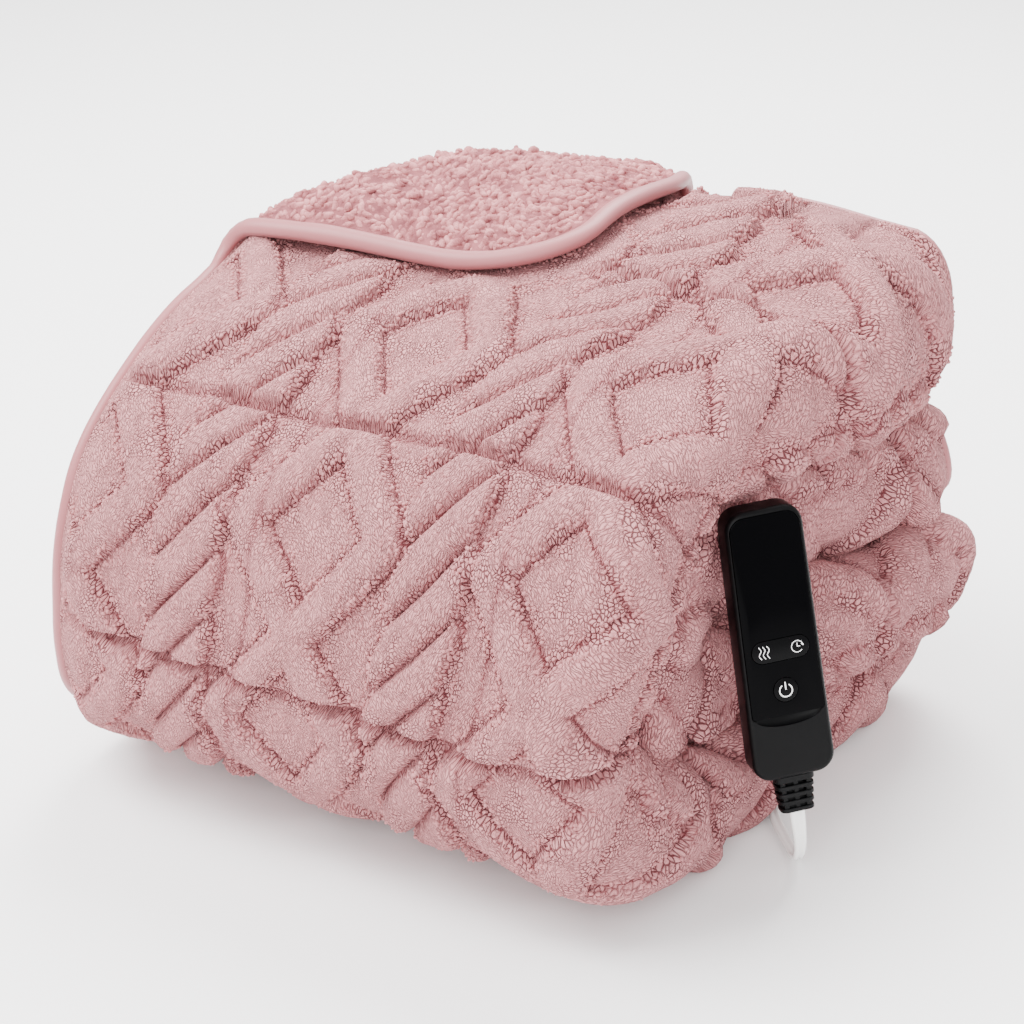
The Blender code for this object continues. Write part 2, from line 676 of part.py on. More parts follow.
def make_lead(collection, white):
    """The lead where it isn't coiled, and one ring for the outer shape of its coil."""
    for name, route in (("lead", LEAD_ROUTE), ("lead_tail", TAIL_ROUTE)):
        bm = curve_mesh(name, [route[0], *flowing(route[1:], 0.014)], CORD / 2, 2)
        bmesh.ops.triangulate(bm, faces=bm.faces)
        add_object(to_mesh(bm, name), name, collection, white, 60)

    inside = COIL_RADII[0] - CORD / 2 - CLEAR
    corner = 0.002
    profile = (
        (COIL_OUTSIDE, COIL_HIGH - corner),
        (COIL_OUTSIDE, CLEAR + corner),
        (COIL_OUTSIDE - corner, CLEAR),
        (inside + corner, CLEAR),
        (inside, CLEAR + corner),
        (inside, COIL_HIGH - corner),
        (inside + corner, COIL_HIGH),
        (COIL_OUTSIDE - corner, COIL_HIGH),
    )
    bm = bmesh.new()
    verts = [bm.verts.new((COIL_AT.x + r, COIL_AT.y, z)) for r, z in profile]
    edges = [bm.edges.new(pair) for pair in zip(verts, verts[1:] + verts[:1])]
    bmesh.ops.spin(
        bm, geom=verts + edges, cent=(*COIL_AT, 0), axis=(0, 0, 1), angle=2 * math.pi, steps=28, use_merge=True
    )
    bmesh.ops.remove_doubles(bm, verts=bm.verts, dist=1e-6)
    bmesh.ops.recalc_face_normals(bm, faces=bm.faces)
    add_object(to_mesh(bm, "lead_coil"), "lead_coil", collection, white)


def make_plug(collection, white, metal):
    """A moulded plug that lies flat behind the throw, its two blades pointing left."""
    bm = bmesh.new()
    bmesh.ops.create_cube(bm, size=1.0)
    bmesh.ops.scale(bm, vec=(PLUG_LENGTH, PLUG_WIDE, PLUG_DEEP), verts=bm.verts)
    for vert in bm.verts:
        if vert.co.x > 0:
            vert.co.y *= PLUG_NECK / PLUG_WIDE
            vert.co.z *= PLUG_NECK / PLUG_DEEP
    bmesh.ops.bevel(bm, geom=bm.edges[:], offset=0.0025, segments=2, affect="EDGES", profile=0.5)
    middle = PLUG_AT - Vector((PLUG_LENGTH / 2, 0, 0))
    bmesh.ops.translate(bm, vec=middle, verts=bm.verts)
    add_object(to_mesh(bm, "plug_body"), "plug_body", collection, white)
    front = PLUG_AT.x - PLUG_LENGTH - CLEAR
    for name, side in (("plug_blade_front", -1), ("plug_blade_back", 1)):
        bm = bmesh.new()
        bmesh.ops.create_cube(bm, size=1.0)
        bmesh.ops.scale(bm, vec=(BLADE_LENGTH, BLADE_THICK, BLADE_WIDE), verts=bm.verts)
        bmesh.ops.bevel(bm, geom=bm.edges[:], offset=0.0003, segments=1, affect="EDGES")
        at = (front - BLADE_LENGTH / 2, PLUG_AT.y + side * BLADES_APART / 2, PLUG_AT.z)
        bmesh.ops.translate(bm, vec=at, verts=bm.verts)
        add_object(to_mesh(bm, name), name, collection, metal)


def main():
    for obj in list(bpy.data.objects):
        bpy.data.objects.remove(obj)
    parts = bpy.data.collections.new("heated_throw")
    cutters = bpy.data.collections.new("cutters")
    bpy.context.scene.collection.children.link(parts)
    bpy.context.scene.collection.children.link(cutters)
    make_throw(parts, material("dusty_pink_plush", (0.58, 0.32, 0.32), 0.95))
    make_binding(parts, material("pink_satin", (0.60, 0.30, 0.29), 0.45))
    black = material("black_satin_plastic", (0.012, 0.012, 0.013), 0.42)
    gloss = material("black_gloss_panel", (0.004, 0.004, 0.005), 0.08)
    cap = material("black_button", (0.014, 0.014, 0.015), 0.30)
    make_controller(parts, cutters, black, gloss, cap)
    make_strain_relief(parts, material("black_soft_plastic", (0.015, 0.015, 0.015), 0.6))
    white = material("white_cord", (0.80, 0.80, 0.80), 0.35)
    make_lead(parts, white)
    make_plug(parts, white, material("nickel", (0.60, 0.58, 0.55), 0.3, 1.0))


main()
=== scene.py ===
import math

import bmesh
import bpy
import numpy as np
from mathutils import Matrix, Vector, noise


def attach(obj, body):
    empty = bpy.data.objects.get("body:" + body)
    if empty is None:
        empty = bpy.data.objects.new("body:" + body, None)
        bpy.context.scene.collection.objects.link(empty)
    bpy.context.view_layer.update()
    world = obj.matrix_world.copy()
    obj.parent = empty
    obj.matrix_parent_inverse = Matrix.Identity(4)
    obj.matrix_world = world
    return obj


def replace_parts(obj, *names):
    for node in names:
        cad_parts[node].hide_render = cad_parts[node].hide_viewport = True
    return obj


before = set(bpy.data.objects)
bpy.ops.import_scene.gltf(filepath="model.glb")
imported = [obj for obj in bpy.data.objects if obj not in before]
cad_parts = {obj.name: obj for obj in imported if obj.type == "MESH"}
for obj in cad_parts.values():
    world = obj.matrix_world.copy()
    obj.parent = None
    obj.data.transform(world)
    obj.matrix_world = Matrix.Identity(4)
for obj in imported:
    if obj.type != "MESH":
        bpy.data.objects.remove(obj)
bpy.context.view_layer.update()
scene = bpy.context.scene

# the camera stands where the photo was taken from
camera = {"azimuth": 31, "elevation": 25.5, "distance": 1.24, "lens": 80, "target": (0.008, -0.005, 0.145)}


def placeCamera():
    turn, tilt = math.radians(camera["azimuth"]), math.radians(camera["elevation"])
    back = Vector((math.sin(turn) * math.cos(tilt), -math.cos(turn) * math.cos(tilt), math.sin(tilt)))
    data = bpy.data.cameras.new("camera")
    data.lens = camera["lens"]
    data.clip_end = 20
    made = bpy.data.objects.new("camera", data)
    made.location = Vector(camera["target"]) + back * camera["distance"]
    made.rotation_euler = (-back).to_track_quat("-Z", "Y").to_euler()
    scene.collection.objects.link(made)
    scene.camera = made


placeCamera()
print("camera placed")

# soft studio light: size and strength in metres and watts
studio = {
    "key": {"place": (-0.9, -0.7, 1.9), "size": 1.3, "watts": 114},
    "fill": {"place": (0.9, -1.9, 1.2), "size": 1.6, "watts": 40},
    "back": {"place": (-0.3, 1.2, 1.9), "size": 1.4, "watts": 112},
    "air": 1.65,
    "floorSize": 6.0,
}


def lightStudio():
    for name in ("key", "fill", "back"):
        facts = studio[name]
        lamp = bpy.data.lights.new(name, "AREA")
        lamp.energy = facts["watts"]
        lamp.size = facts["size"]
        made = bpy.data.objects.new(name, lamp)
        made.location = facts["place"]
        made.rotation_euler = (Vector((0, 0, 0.12)) - Vector(facts["place"])).to_track_quat("-Z", "Y").to_euler()
        scene.collection.objects.link(made)
    world = bpy.data.worlds.new("studio")
    world.use_nodes = True
    world.node_tree.nodes["Background"].inputs["Color"].default_value = (1, 1, 1, 1)
    world.node_tree.nodes["Background"].inputs["Strength"].default_value = studio["air"]
    scene.world = world


def smooth(low, high, value):
    t = min(max((value - low) / (high - low), 0.0), 1.0)
    return t * t * (3 - 2 * t)


def linear(hexColour):
    def channel(value):
        return value / 12.92 if value <= 0.04045 else ((value + 0.055) / 1.055) ** 2.4

    return (*(channel(int(hexColour[i : i + 2], 16) / 255) for i in (1, 3, 5)), 1)


def addNode(tree, kind, inputs=None, **settings):
    node = tree.nodes.new(kind)
    for name, value in settings.items():
        setattr(node, name, value)
    for name, value in (inputs or {}).items():
        if isinstance(value, bpy.types.NodeSocket):
            tree.links.new(value, node.inputs[name])
        else:
            node.inputs[name].default_value = value
    return node


def newMaterial(name, shaderInputs):
    made = bpy.data.materials.new(name)
    made.use_nodes = True
    shader = made.node_tree.nodes["Principled BSDF"]
    for key, value in shaderInputs.items():
        shader.inputs[key].default_value = value
    return made, made.node_tree, shader


def addPiece(mesh, name, material, body, smoothAngle=None):
    mesh.shade_smooth()
    if smoothAngle is not None:
        mesh.set_sharp_from_angle(angle=math.radians(smoothAngle))
    mesh.materials.clear()
    mesh.materials.append(material)
    made = bpy.data.objects.new(name, mesh)
    scene.collection.objects.link(made)
    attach(made, body)
    return made


def meshFrom(bm, name):
    mesh = bpy.data.meshes.new(name)
    bm.to_mesh(mesh)
    bm.free()
    return mesh


def moved(bm, x, y, z=0.0):
    bmesh.ops.translate(bm, vec=(x, y, z), verts=bm.verts)
    return bm


def rowedGrid(columns, rows):
    # a grid to be bent into a tube, with its points in order, row by row
    bm = bmesh.new()
    bmesh.ops.create_grid(bm, x_segments=columns, y_segments=rows, size=0.5)
    return bm, sorted(bm.verts, key=lambda v: (round((v.co.y + 0.5) * rows), v.co.x))


lightStudio()
bm = bmesh.new()
bmesh.ops.create_grid(bm, x_segments=8, y_segments=8, size=studio["floorSize"])
floor = bpy.data.objects.new("floor", meshFrom(bm, "floor"))
floorPaper, _, _ = newMaterial("studioPaper", {"Base Color": linear("#F7F6F6"), "Roughness": 0.9})
floor.data.materials.append(floorPaper)
scene.collection.objects.link(floor)
print("studio ready")

# the hand controller: X across its face, Y up its length, Z out of the face
controller = {
    "at": (0.1880, -0.0464, 0.1329),
    "turn": 42,
    "pitch": 12,
    "roll": 6.6,
    "length": 0.1415,
    "thick": 0.018,
    "topWidth": 0.0398,
    "bottomWidth": 0.0432,
    "corner": 0.0100,
    "edge": 0.0028,
    "panelTop": 0.06775,
    "panelBottom": -0.0370,
    "panelWidths": (0.0358, 0.0378),
    "panelCorner": 0.0075,
    "panelFoot": 0.0018,
    "panelDeep": 0.0016,
    "pillSize": (0.0300, 0.0115),
    "pillUp": -0.0022,
    "powerRadius": 0.0063,
    "powerUp": -0.0235,
    "proud": 0.0005,
    "capThick": 0.0013,
    "clear": 0.0003,
    "lip": (0.0178, 0.0060, 0.0042),
    "reliefLength": 0.0200,
}
controllerPlace = (
    Matrix.Translation(controller["at"])
    @ Matrix.Rotation(math.radians(controller["turn"]), 4, "Z")
    @ Matrix.Rotation(math.radians(90 - controller["pitch"]), 4, "X")
    @ Matrix.Rotation(math.radians(controller["roll"]), 4, "Z")
)

# the mains lead: two white cores side by side, from the strain relief to the plug
lead = {
    "width": 0.0060,
    "length": 1.800,
    "bend": 0.024,
    "heading": (-0.64, 0.77, 0),
    "coilAt": (0.0400, 0.2560),
    "coilRadii": (0.0306, 0.0366),
    "turns": 6,
    "turnSteps": 16,
    "joins": 0.0063,
    "plugAt": (-0.0360, 0.2925, 0.0093),
    "clear": 0.0003,
}
leadLow = lead["width"] / 2 + lead["clear"]
reliefDown = -(controllerPlace.to_3x3() @ Vector((0, 1, 0)))
reliefEnd = controllerPlace @ Vector(
    (0, -controller["length"] / 2 - controller["reliefLength"] - lead["clear"], -controller["thick"] / 2)
)


def leadBend():
    heading = Vector(lead["heading"]).normalized()
    side = (heading - reliefDown * heading.dot(reliefDown)).normalized()
    angle = reliefDown.angle(heading)
    fall = lead["bend"] * (side * (1 - math.cos(angle)) + reliefDown * math.sin(angle)).z
    start = reliefEnd + reliefDown * ((reliefEnd.z + fall - leadLow) / -reliefDown.z)
    for i in range(7):
        turned = angle * i / 6
        yield start + lead["bend"] * (side * (1 - math.cos(turned)) + reliefDown * math.sin(turned))


def coilTurns():
    # six turns, side by side and in three layers, from where the lead joins them to where the tail leaves
    inner, outer = lead["coilRadii"]
    outside = outer + lead["joins"]
    turns = ((outer, 0), (inner, 0), (inner, 1), (outer, 1), (inner, 2), (outer, 2), (outside, 2))
    first, last = math.radians(90), math.radians(90 + lead["turns"] * 360 + 32)
    steps = lead["turns"] * lead["turnSteps"] + 2
    for i in range(3, steps):
        angle = first + (last - first) * i / steps
        turn = (angle - first) / (2 * math.pi)
        whole = int(turn)
        share = smooth(0, 0.16, turn - whole)  # each turn moves over to its own place at its start
        before = turns[whole - 1] if whole else (outside, 0)
        radius = before[0] + (turns[whole][0] - before[0]) * share
        layer = before[1] + (turns[whole][1] - before[1]) * share
        x, y = lead["coilAt"]
        yield Vector((x + radius * math.cos(angle), y + radius * math.sin(angle), leadLow + layer * lead["width"]))


roundTheThrow = (  # along the floor, from under the controller to the coil
    (0.1740, -0.0060), (0.1660, 0.0100), (0.1615, 0.0300), (0.1600, 0.0550), (0.1600, 0.0850),
    (0.1600, 0.1150), (0.1590, 0.1450), (0.1540, 0.1740), (0.1430, 0.2010), (0.1260, 0.2270),
    (0.1080, 0.2510), (0.0890, 0.2740), (0.0680, 0.2915), (0.0490, 0.2987),
)
plugX, plugY, plugZ = lead["plugAt"]
leadRoute = [
    reliefEnd,
    *leadBend(),
    *((x, y, leadLow) for x, y in roundTheThrow),
    *coilTurns(),
    (0.0173, 0.2922, leadLow + 2 * lead["width"]),
    (0.0020, plugY, 0.0135),
    (-0.0140, plugY, 0.0104),
    (-0.0280, plugY, plugZ),
    (plugX + lead["clear"], plugY, plugZ),
]


def flowing(points, step):
    # a smooth curve through the points, cut into even steps
    points = [Vector(p) for p in points]
    padded = [2 * points[0] - points[1], *points, 2 * points[-1] - points[-2]]
    fine = []
    for a, b, c, d in zip(padded, padded[1:], padded[2:], padded[3:]):
        for i in range(16):
            t = i / 16
            fine.append(
                0.5 * (2 * b + (c - a) * t + (2 * a - 5 * b + 4 * c - d) * t**2 + (3 * b - a - 3 * c + d) * t**3)
            )
    fine.append(points[-1])
    total = sum((b - a).length for a, b in zip(fine, fine[1:]))
    count = max(2, round(total / step))
    even, gone, target = [fine[0]], 0.0, total / count
    for a, b in zip(fine, fine[1:]):
        length = (b - a).length
        while length and gone + length >= target - 1e-9 and len(even) < count:
            even.append(a.lerp(b, (target - gone) / length))
            target += total / count
        gone += length
    return even + [fine[-1]]


def sweptMesh(name, path, ringAt, segments, side):
    bm, grid = rowedGrid(segments, len(path) - 1)
    for i, place in enumerate(path):
        before, after = path[max(i - 1, 0)], path[min(i + 1, len(path) - 1)]
        forward = (after - before).normalized()
        side = (side - forward * side.dot(forward)).normalized()
        up = side.cross(forward).normalized()
        for j in range(segments + 1):
            across, rise = ringAt(i, j % segments)
            grid[i * (segments + 1) + j].co = place + side * across + up * rise
    bmesh.ops.remove_doubles(bm, verts=bm.verts, dist=1e-7)
    bmesh.ops.holes_fill(bm, edges=[e for e in bm.edges if e.is_boundary], sides=0)
    bmesh.ops.recalc_face_normals(bm, faces=bm.faces)
    return meshFrom(bm, name)


whitePvc, _, _ = newMaterial(  # extruded soft PVC jacket: smooth and glossy
    "whiteExtrudedPvc", {"Base Color": linear("#F2F1EF"), "Roughness": 0.22, "IOR": 1.53, "Coat Weight": 0.3}
)


def makeLead():
    path = flowing(leadRoute, 0.0032)
    gone = [0.0]
    for a, b in zip(path, path[1:]):
        gone.append(gone[-1] + (b - a).length)
    half = lead["width"] / 4

    def twinCore(i, j):
        # two cores side by side, thicker and a little apart where they leave the strain relief
        near = 1 - min(gone[i] / 0.026, 1)
        apart = half * (1 + 0.62 * near**1.3)
        thick = half * (1.08 + 0.34 * near)
        local = math.radians((-140 if j < 10 else 40) + 280 * (j % 10) / 9)
        return (apart if j < 10 else -apart) + thick * math.cos(local) * 0.94, thick * math.sin(local)

    start = controllerPlace.to_3x3() @ Vector((1, 0, 0))
    mesh = sweptMesh("mainsLead", path, twinCore, 20, start)
    made = addPiece(mesh, "mainsLead", whitePvc, "throw_set", 50)
    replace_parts(made, "lead", "lead_coil", "lead_tail")
    print("lead", round(gone[-1], 3), "m")
    return made, path


leadPiece, leadPath = makeLead()

# moulded black ABS, a gloss acrylic panel set in it, and push buttons with printed signs
blackAbs, absTree, absShader = newMaterial(  # injection moulded, spark-eroded to a fine satin
    "blackInjectedAbs", {"Base Color": linear("#040405"), "Roughness": 0.38, "IOR": 1.54, "Specular IOR Level": 0.08}
)
onMould = addNode(absTree, "ShaderNodeTexCoord").outputs["Object"]
grain = addNode(absTree, "ShaderNodeTexNoise", {"Vector": onMould, "Scale": 5200.0, "Detail": 2.0}).outputs["Fac"]
grainBump = addNode(absTree, "ShaderNodeBump", {"Height": grain, "Distance": 0.00004, "Strength": 0.5})
absTree.links.new(grainBump.outputs["Normal"], absShader.inputs["Normal"])
handled = addNode(absTree, "ShaderNodeTexNoise", {"Vector": onMould, "Scale": 60.0, "Detail": 3.0}).outputs["Fac"]
handled = addNode(absTree, "ShaderNodeMapRange", {"Value": handled, "To Min": 0.34, "To Max": 0.47})
absTree.links.new(handled.outputs[0], absShader.inputs["Roughness"])

blackAcrylic, acrylicTree, acrylicShader = newMaterial(  # cast and polished: deep black, with faint wiping marks
    "blackPolishedAcrylic",
    {"Base Color": linear("#020203"), "Roughness": 0.07, "IOR": 1.49, "Specular IOR Level": 0.03},
)
wiped = addNode(acrylicTree, "ShaderNodeTexCoord").outputs["Object"]
wiped = addNode(acrylicTree, "ShaderNodeTexNoise", {"Vector": wiped, "Scale": 90.0, "Detail": 4.0}).outputs["Fac"]
wiped = addNode(acrylicTree, "ShaderNodeMapRange", {"Value": wiped, "From Min": 0.4, "To Min": 0.05, "To Max": 0.14})
acrylicTree.links.new(wiped.outputs[0], acrylicShader.inputs["Roughness"])

blackCap, _, _ = newMaterial(  # the same acrylic with a matt lacquer over it
    "blackLacqueredCap", {"Base Color": linear("#040405"), "Roughness": 0.26, "IOR": 1.49, "Specular IOR Level": 0.06}
)
whiteInk, _, _ = newMaterial("whitePadPrint", {"Base Color": linear("#F5F5F5"), "Roughness": 0.45})
softPvc, _, _ = newMaterial(  # overmoulded on the lead: matt and a little soft
    "blackOvermouldedPvc", {"Base Color": linear("#060607"), "Roughness": 0.52, "IOR": 1.53, "Specular IOR Level": 0.12}
)


def plate(widths, top, bottom, corners, low, high, rim=0.0, steps=3):
    # a flat plate with its own width and corner radius at top and bottom
    bm = bmesh.new()
    bmesh.ops.create_grid(bm, x_segments=1, y_segments=1, size=0.5)
    for vert in bm.verts:
        upper = vert.co.y > 0
        vert.co = (math.copysign(widths[0 if upper else 1] / 2, vert.co.x), top if upper else bottom, low)
    middle = (top + bottom) / 2
    for isTop, corner in zip((True, False), corners):
        picked = [v for v in bm.verts if (v.co.y > middle) == isTop]
        bmesh.ops.bevel(bm, geom=picked, offset=corner, segments=10, profile=0.5, affect="VERTICES", material=-1)
    bmesh.ops.remove_doubles(bm, verts=bm.verts, dist=1e-6)
    grown = bmesh.ops.extrude_face_region(bm, geom=bm.faces[:])["geom"]
    bmesh.ops.translate(bm, vec=(0, 0, high - low), verts=[g for g in grown if isinstance(g, bmesh.types.BMVert)])
    bmesh.ops.recalc_face_normals(bm, faces=bm.faces)
    if rim:
        roundRim(bm, high, rim, steps)
    return bm


def roundRim(bm, level, rim, steps):
    edges = [e for e in bm.edges if all(abs(v.co.z - level) < 1e-7 for v in e.verts) and len(e.link_faces) == 2]
    bmesh.ops.bevel(bm, geom=edges, offset=rim, segments=steps, profile=0.5, affect="EDGES", material=-1)


def disc(radius, low, high, rim=0.0):
    bm = bmesh.new()
    bmesh.ops.create_cone(bm, cap_ends=True, segments=56, radius1=radius, radius2=radius, depth=high - low)
    moved(bm, 0, 0, (low + high) / 2)
    if rim:
        roundRim(bm, high, rim, 3)
    return bm


def carved(bm, cutters):
    # the body with each cutter's shape taken out of it
    made = bpy.data.objects.new("carved", meshFrom(bm, "carved"))
    scene.collection.objects.link(made)
    tools = []
    for cutter in cutters:
        tool = bpy.data.objects.new("cutter", meshFrom(cutter, "cutter"))
        scene.collection.objects.link(tool)
        cut = made.modifiers.new("cut", "BOOLEAN")
        cut.object, cut.operation, cut.solver = tool, "DIFFERENCE", "EXACT"
        tools.append(tool)
    result = bpy.data.meshes.new_from_object(made.evaluated_get(bpy.context.evaluated_depsgraph_get()))
    for spent in [made, *tools]:
        bpy.data.objects.remove(spent)
    return result


def onController(mesh, name, material, body):
    mesh.transform(controllerPlace)
    return addPiece(mesh, name, material, body, 32)


def makeController():
    facts = controller
    half, clear, thick, edge = facts["length"] / 2, facts["clear"], facts["thick"], facts["edge"]
    bothWidths = (facts["topWidth"], facts["bottomWidth"])
    shell = plate(bothWidths, half, -half, [facts["corner"]] * 2, -thick, 0, edge, 6)
    roundRim(shell, -thick, edge, 4)
    top, foot, deep, widths = facts["panelTop"], facts["panelBottom"], facts["panelDeep"], facts["panelWidths"]
    corners = (facts["panelCorner"], facts["panelFoot"])
    wider, rounder = [w + 2 * clear for w in widths], [c + clear for c in corners]
    recess = plate(wider, top + clear, foot - clear, rounder, -deep - clear, 0.004)
    lip = bmesh.new()  # a finger's hollow under the panel
    bmesh.ops.create_uvsphere(lip, u_segments=48, v_segments=24, radius=1.0)
    bmesh.ops.scale(lip, vec=facts["lip"], verts=lip.verts)
    moved(lip, 0, foot + 0.0004, 0.0008)
    shell = onController(carved(shell, [recess, lip]), "controllerShell", blackAbs, "throw_set")
    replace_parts(shell, "controller_housing")

    def pillPlate(grow, low, high, rim=0.0):
        across, upward = facts["pillSize"][0] + 2 * grow, facts["pillSize"][1] / 2 + grow
        nearlyHalf = [upward - 2e-5] * 2  # a corner of the full half height would fold over itself
        return moved(plate([across] * 2, upward, -upward, nearlyHalf, low, high, rim), 0, facts["pillUp"])

    def powerDisc(grow, low, high, rim=0.0):
        return moved(disc(facts["powerRadius"] + grow, low, high, rim), 0, facts["powerUp"])

    panel = plate(widths, top, foot, corners, -deep, 0.0002, 0.0004)
    panel = carved(panel, [pillPlate(clear, -0.01, 0.01), powerDisc(clear, -0.01, 0.01)])
    panel = onController(panel, "glossPanel", blackAcrylic, "throw_set")
    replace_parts(panel, "controller_face")

    caps = (
        ("heatTimerCap", pillPlate, "heat_timer", "heat_timer_button"),
        ("powerCap", powerDisc, "power", "power_button"),
    )
    for name, shape, body, node in caps:
        bm = shape(0, facts["proud"] - facts["capThick"], facts["proud"], 0.0004)
        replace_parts(onController(meshFrom(bm, name), name, blackCap, body), node)


makeController()


def ribbon(bm, line, width):
    # a printed stroke along a flat line
    count = len(line)
    made = bmesh.ops.create_grid(bm, x_segments=1, y_segments=count - 1, size=0.5)["verts"]
    for vert in made:
        i = round((vert.co.y + 0.5) * (count - 1))
        before, after = Vector(line[max(i - 1, 0)]), Vector(line[min(i + 1, count - 1)])
        forward = (after - before).normalized()
        side = Vector((forward.y, -forward.x)) * math.copysign(width / 2, vert.co.x)
        vert.co = (*(Vector(line[i]) + side), 0)


def arcLine(x, y, radius, first, last, steps=28):
    angles = [math.radians(first + (last - first) * i / steps) for i in range(steps + 1)]
    return [(x + radius * math.cos(a), y + radius * math.sin(a)) for a in angles]


signs = {
    "stroke": 0.00036,
    "above": 0.00007,
    "heatAt": -0.0086,
    "wave": (0.0021, 0.0006, 0.0066),
    "clockAt": 0.0086,
    "clock": 0.0030,
    "power": 0.0033,
    "powerStroke": 0.000612,
}


def makeSigns():
    height = controller["proud"] + signs["above"]
    stroke = signs["stroke"]
    bm = bmesh.new()
    apart, swing, tall = signs["wave"]
    for number in (-1, 0, 1):  # three rising waves of warmth
        x = signs["heatAt"] + number * apart
        rising = [i / 24 - 0.5 for i in range(25)]
        ribbon(bm, [(x + swing * math.sin(2.6 * math.pi * t), t * tall) for t in rising], stroke)
    x = signs["clockAt"]
    ribbon(bm, arcLine(x, 0, signs["clock"], 12, 318), stroke)  # a clock with a gap at its right
    ribbon(bm, [(x, 0.0018), (x, 0.0006), (x, 0.0)], stroke)
    ribbon(bm, [(x - stroke / 2, 0.0), (x + 0.0008, 0.0), (x + 0.0014, 0.0)], stroke)
    ribbon(bm, [(x + 0.0023, 0.0013), (x + 0.0031, 0.0002), (x + 0.0032, 0.0001)], 0.0007)
    moved(bm, 0, controller["pillUp"], height)
    onController(meshFrom(bm, "heatTimerSigns"), "heatTimerSigns", whiteInk, "heat_timer")
    bm = bmesh.new()
    ribbon(bm, arcLine(0, -0.0003, signs["power"], 122, 418), signs["powerStroke"])
    ribbon(bm, [(0, 0.0001), (0, 0.0022), (0, 0.0042)], signs["powerStroke"])
    moved(bm, 0, controller["powerUp"], height)
    onController(meshFrom(bm, "powerSign"), "powerSign", whiteInk, "power")


makeSigns()
print("controller made")

# the strain relief: a collar and four ribs on a core, joined by short bridges that leave small windows
sleeve = {
    "ribs": 4,
    "rib": 0.0022,
    "collar": 0.0034,
    "upper": (0.0210, 0.0130),
    "lower": (0.0176, 0.0112),
    "core": (0.0125, 0.0078),
    "bridge": 0.0027,
    "softEdge": 0.00035,
}


def makeStrainRelief():
    bm = bmesh.new()
    start, length, middle = -controller["length"] / 2, controller["reliefLength"], -controller["thick"] / 2

    def block(x, y, width, long, deep, rim):
        made = bmesh.ops.create_cube(bm, size=1.0)["verts"]
        bmesh.ops.scale(bm, vec=(width, long, deep), verts=made)
        bmesh.ops.translate(bm, vec=(x, y, middle), verts=made)
        if rim:
            edges = {e for v in made for e in v.link_edges}
            lengthwise = [e for e in edges if abs(e.verts[0].co.y - e.verts[1].co.y) > long / 2]
            bmesh.ops.bevel(bm, geom=lengthwise, offset=rim, segments=5, profile=0.5, affect="EDGES", material=-1)

    def size(gone):
        share = gone / length
        return [a + (b - a) * share for a, b in zip(sleeve["upper"], sleeve["lower"])]

    coreWide, coreDeep = sleeve["core"]
    block(0, start - length / 2 + 0.0005, coreWide, length - 0.001, coreDeep, 0.003)
    collar, rib = sleeve["collar"], sleeve["rib"]
    wide, deep = size(0)
    block(0, start - collar / 2, wide, collar, deep, 0.0038)
    gap = (length - collar - sleeve["ribs"] * rib) / sleeve["ribs"]
    for number in range(sleeve["ribs"]):
        at = collar + gap + number * (gap + rib) + rib / 2
        wide, deep = size(at)
        block(0, start - at, wide, rib, deep, 0.0036)
        for x in (-0.5, 0.0, 0.5):
            between = start - at + (rib + gap) / 2
            block(x * (wide - 0.0062), between, sleeve["bridge"], gap + 0.0004, deep - 0.0016, 0)
    bmesh.ops.recalc_face_normals(bm, faces=bm.faces)
    made = onController(meshFrom(bm, "strainRelief"), "strainRelief", softPvc, "throw_set")
    soft = made.modifiers.new("softEdges", "BEVEL")
    soft.width, soft.segments, soft.limit_method = sleeve["softEdge"], 2, "ANGLE"
    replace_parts(made, "strain_relief")


makeStrainRelief()
print("strain relief made")

# the throw, flat: "across" runs from its first hem through four plies, "along" from the hem at the top of the back
throw = {
    "ply": 0.0146,
    "plyPitch": 0.0161,
    "stripPitch": 0.0662,
    "plyLength": 0.3300,
    "leftEnd": -0.1860,
    "backHem": 0.1550,
    "cornerFold": (-0.1860, -0.0200),
    "cornerPulled": 0.040,
    "cornerRoll": (0.0085, 0.0115, 0.0082),
    "cornerDroop": 20.0,
    "hemRound": 0.050,
    "hemTaper": 0.016,
    "hemThin": 0.42,
    "waves": ((14.4, 0.4, 0.5), (12.4, 10.3, 7.8), (8.7, 11.4, 12.1)),
    "cell": 0.00155,
    "sideCell": 0.0032,
    "cornerCell": 0.0030,
    "cornerShown": (0.215, 0.175),
    "groove": 0.0072,
}
plyPitch, stripPitch = throw["plyPitch"], throw["stripPitch"]
acrossRows = (  # name, length or radius, turn, steps
    ("outerPly", throw["plyLength"], 0, 5),
    ("outerFold", 1.5 * plyPitch, -1, 8),
    ("underPly", throw["plyLength"], 0, 5),
    ("hiddenFold", 0.5 * plyPitch, -1, 6),
    ("thirdPly", throw["plyLength"], 0, 5),
    ("innerFold", 0.5 * plyPitch, 1, 6),
    ("secondPly", throw["plyLength"], 0, 5),
)
alongRows = (
    ("top", 0.1980, 0, 4),
    ("frontWrap", 1.5 * stripPitch, 1, 14),
    ("bottom", 0.1600, 0, 4),
    ("backFold", 0.5 * stripPitch, 1, 10),
    ("second", 0.1580, 0, 4),
    ("middleFold", 0.5 * stripPitch, -1, 10),
    ("third", 0.1870, 0, 5),
)
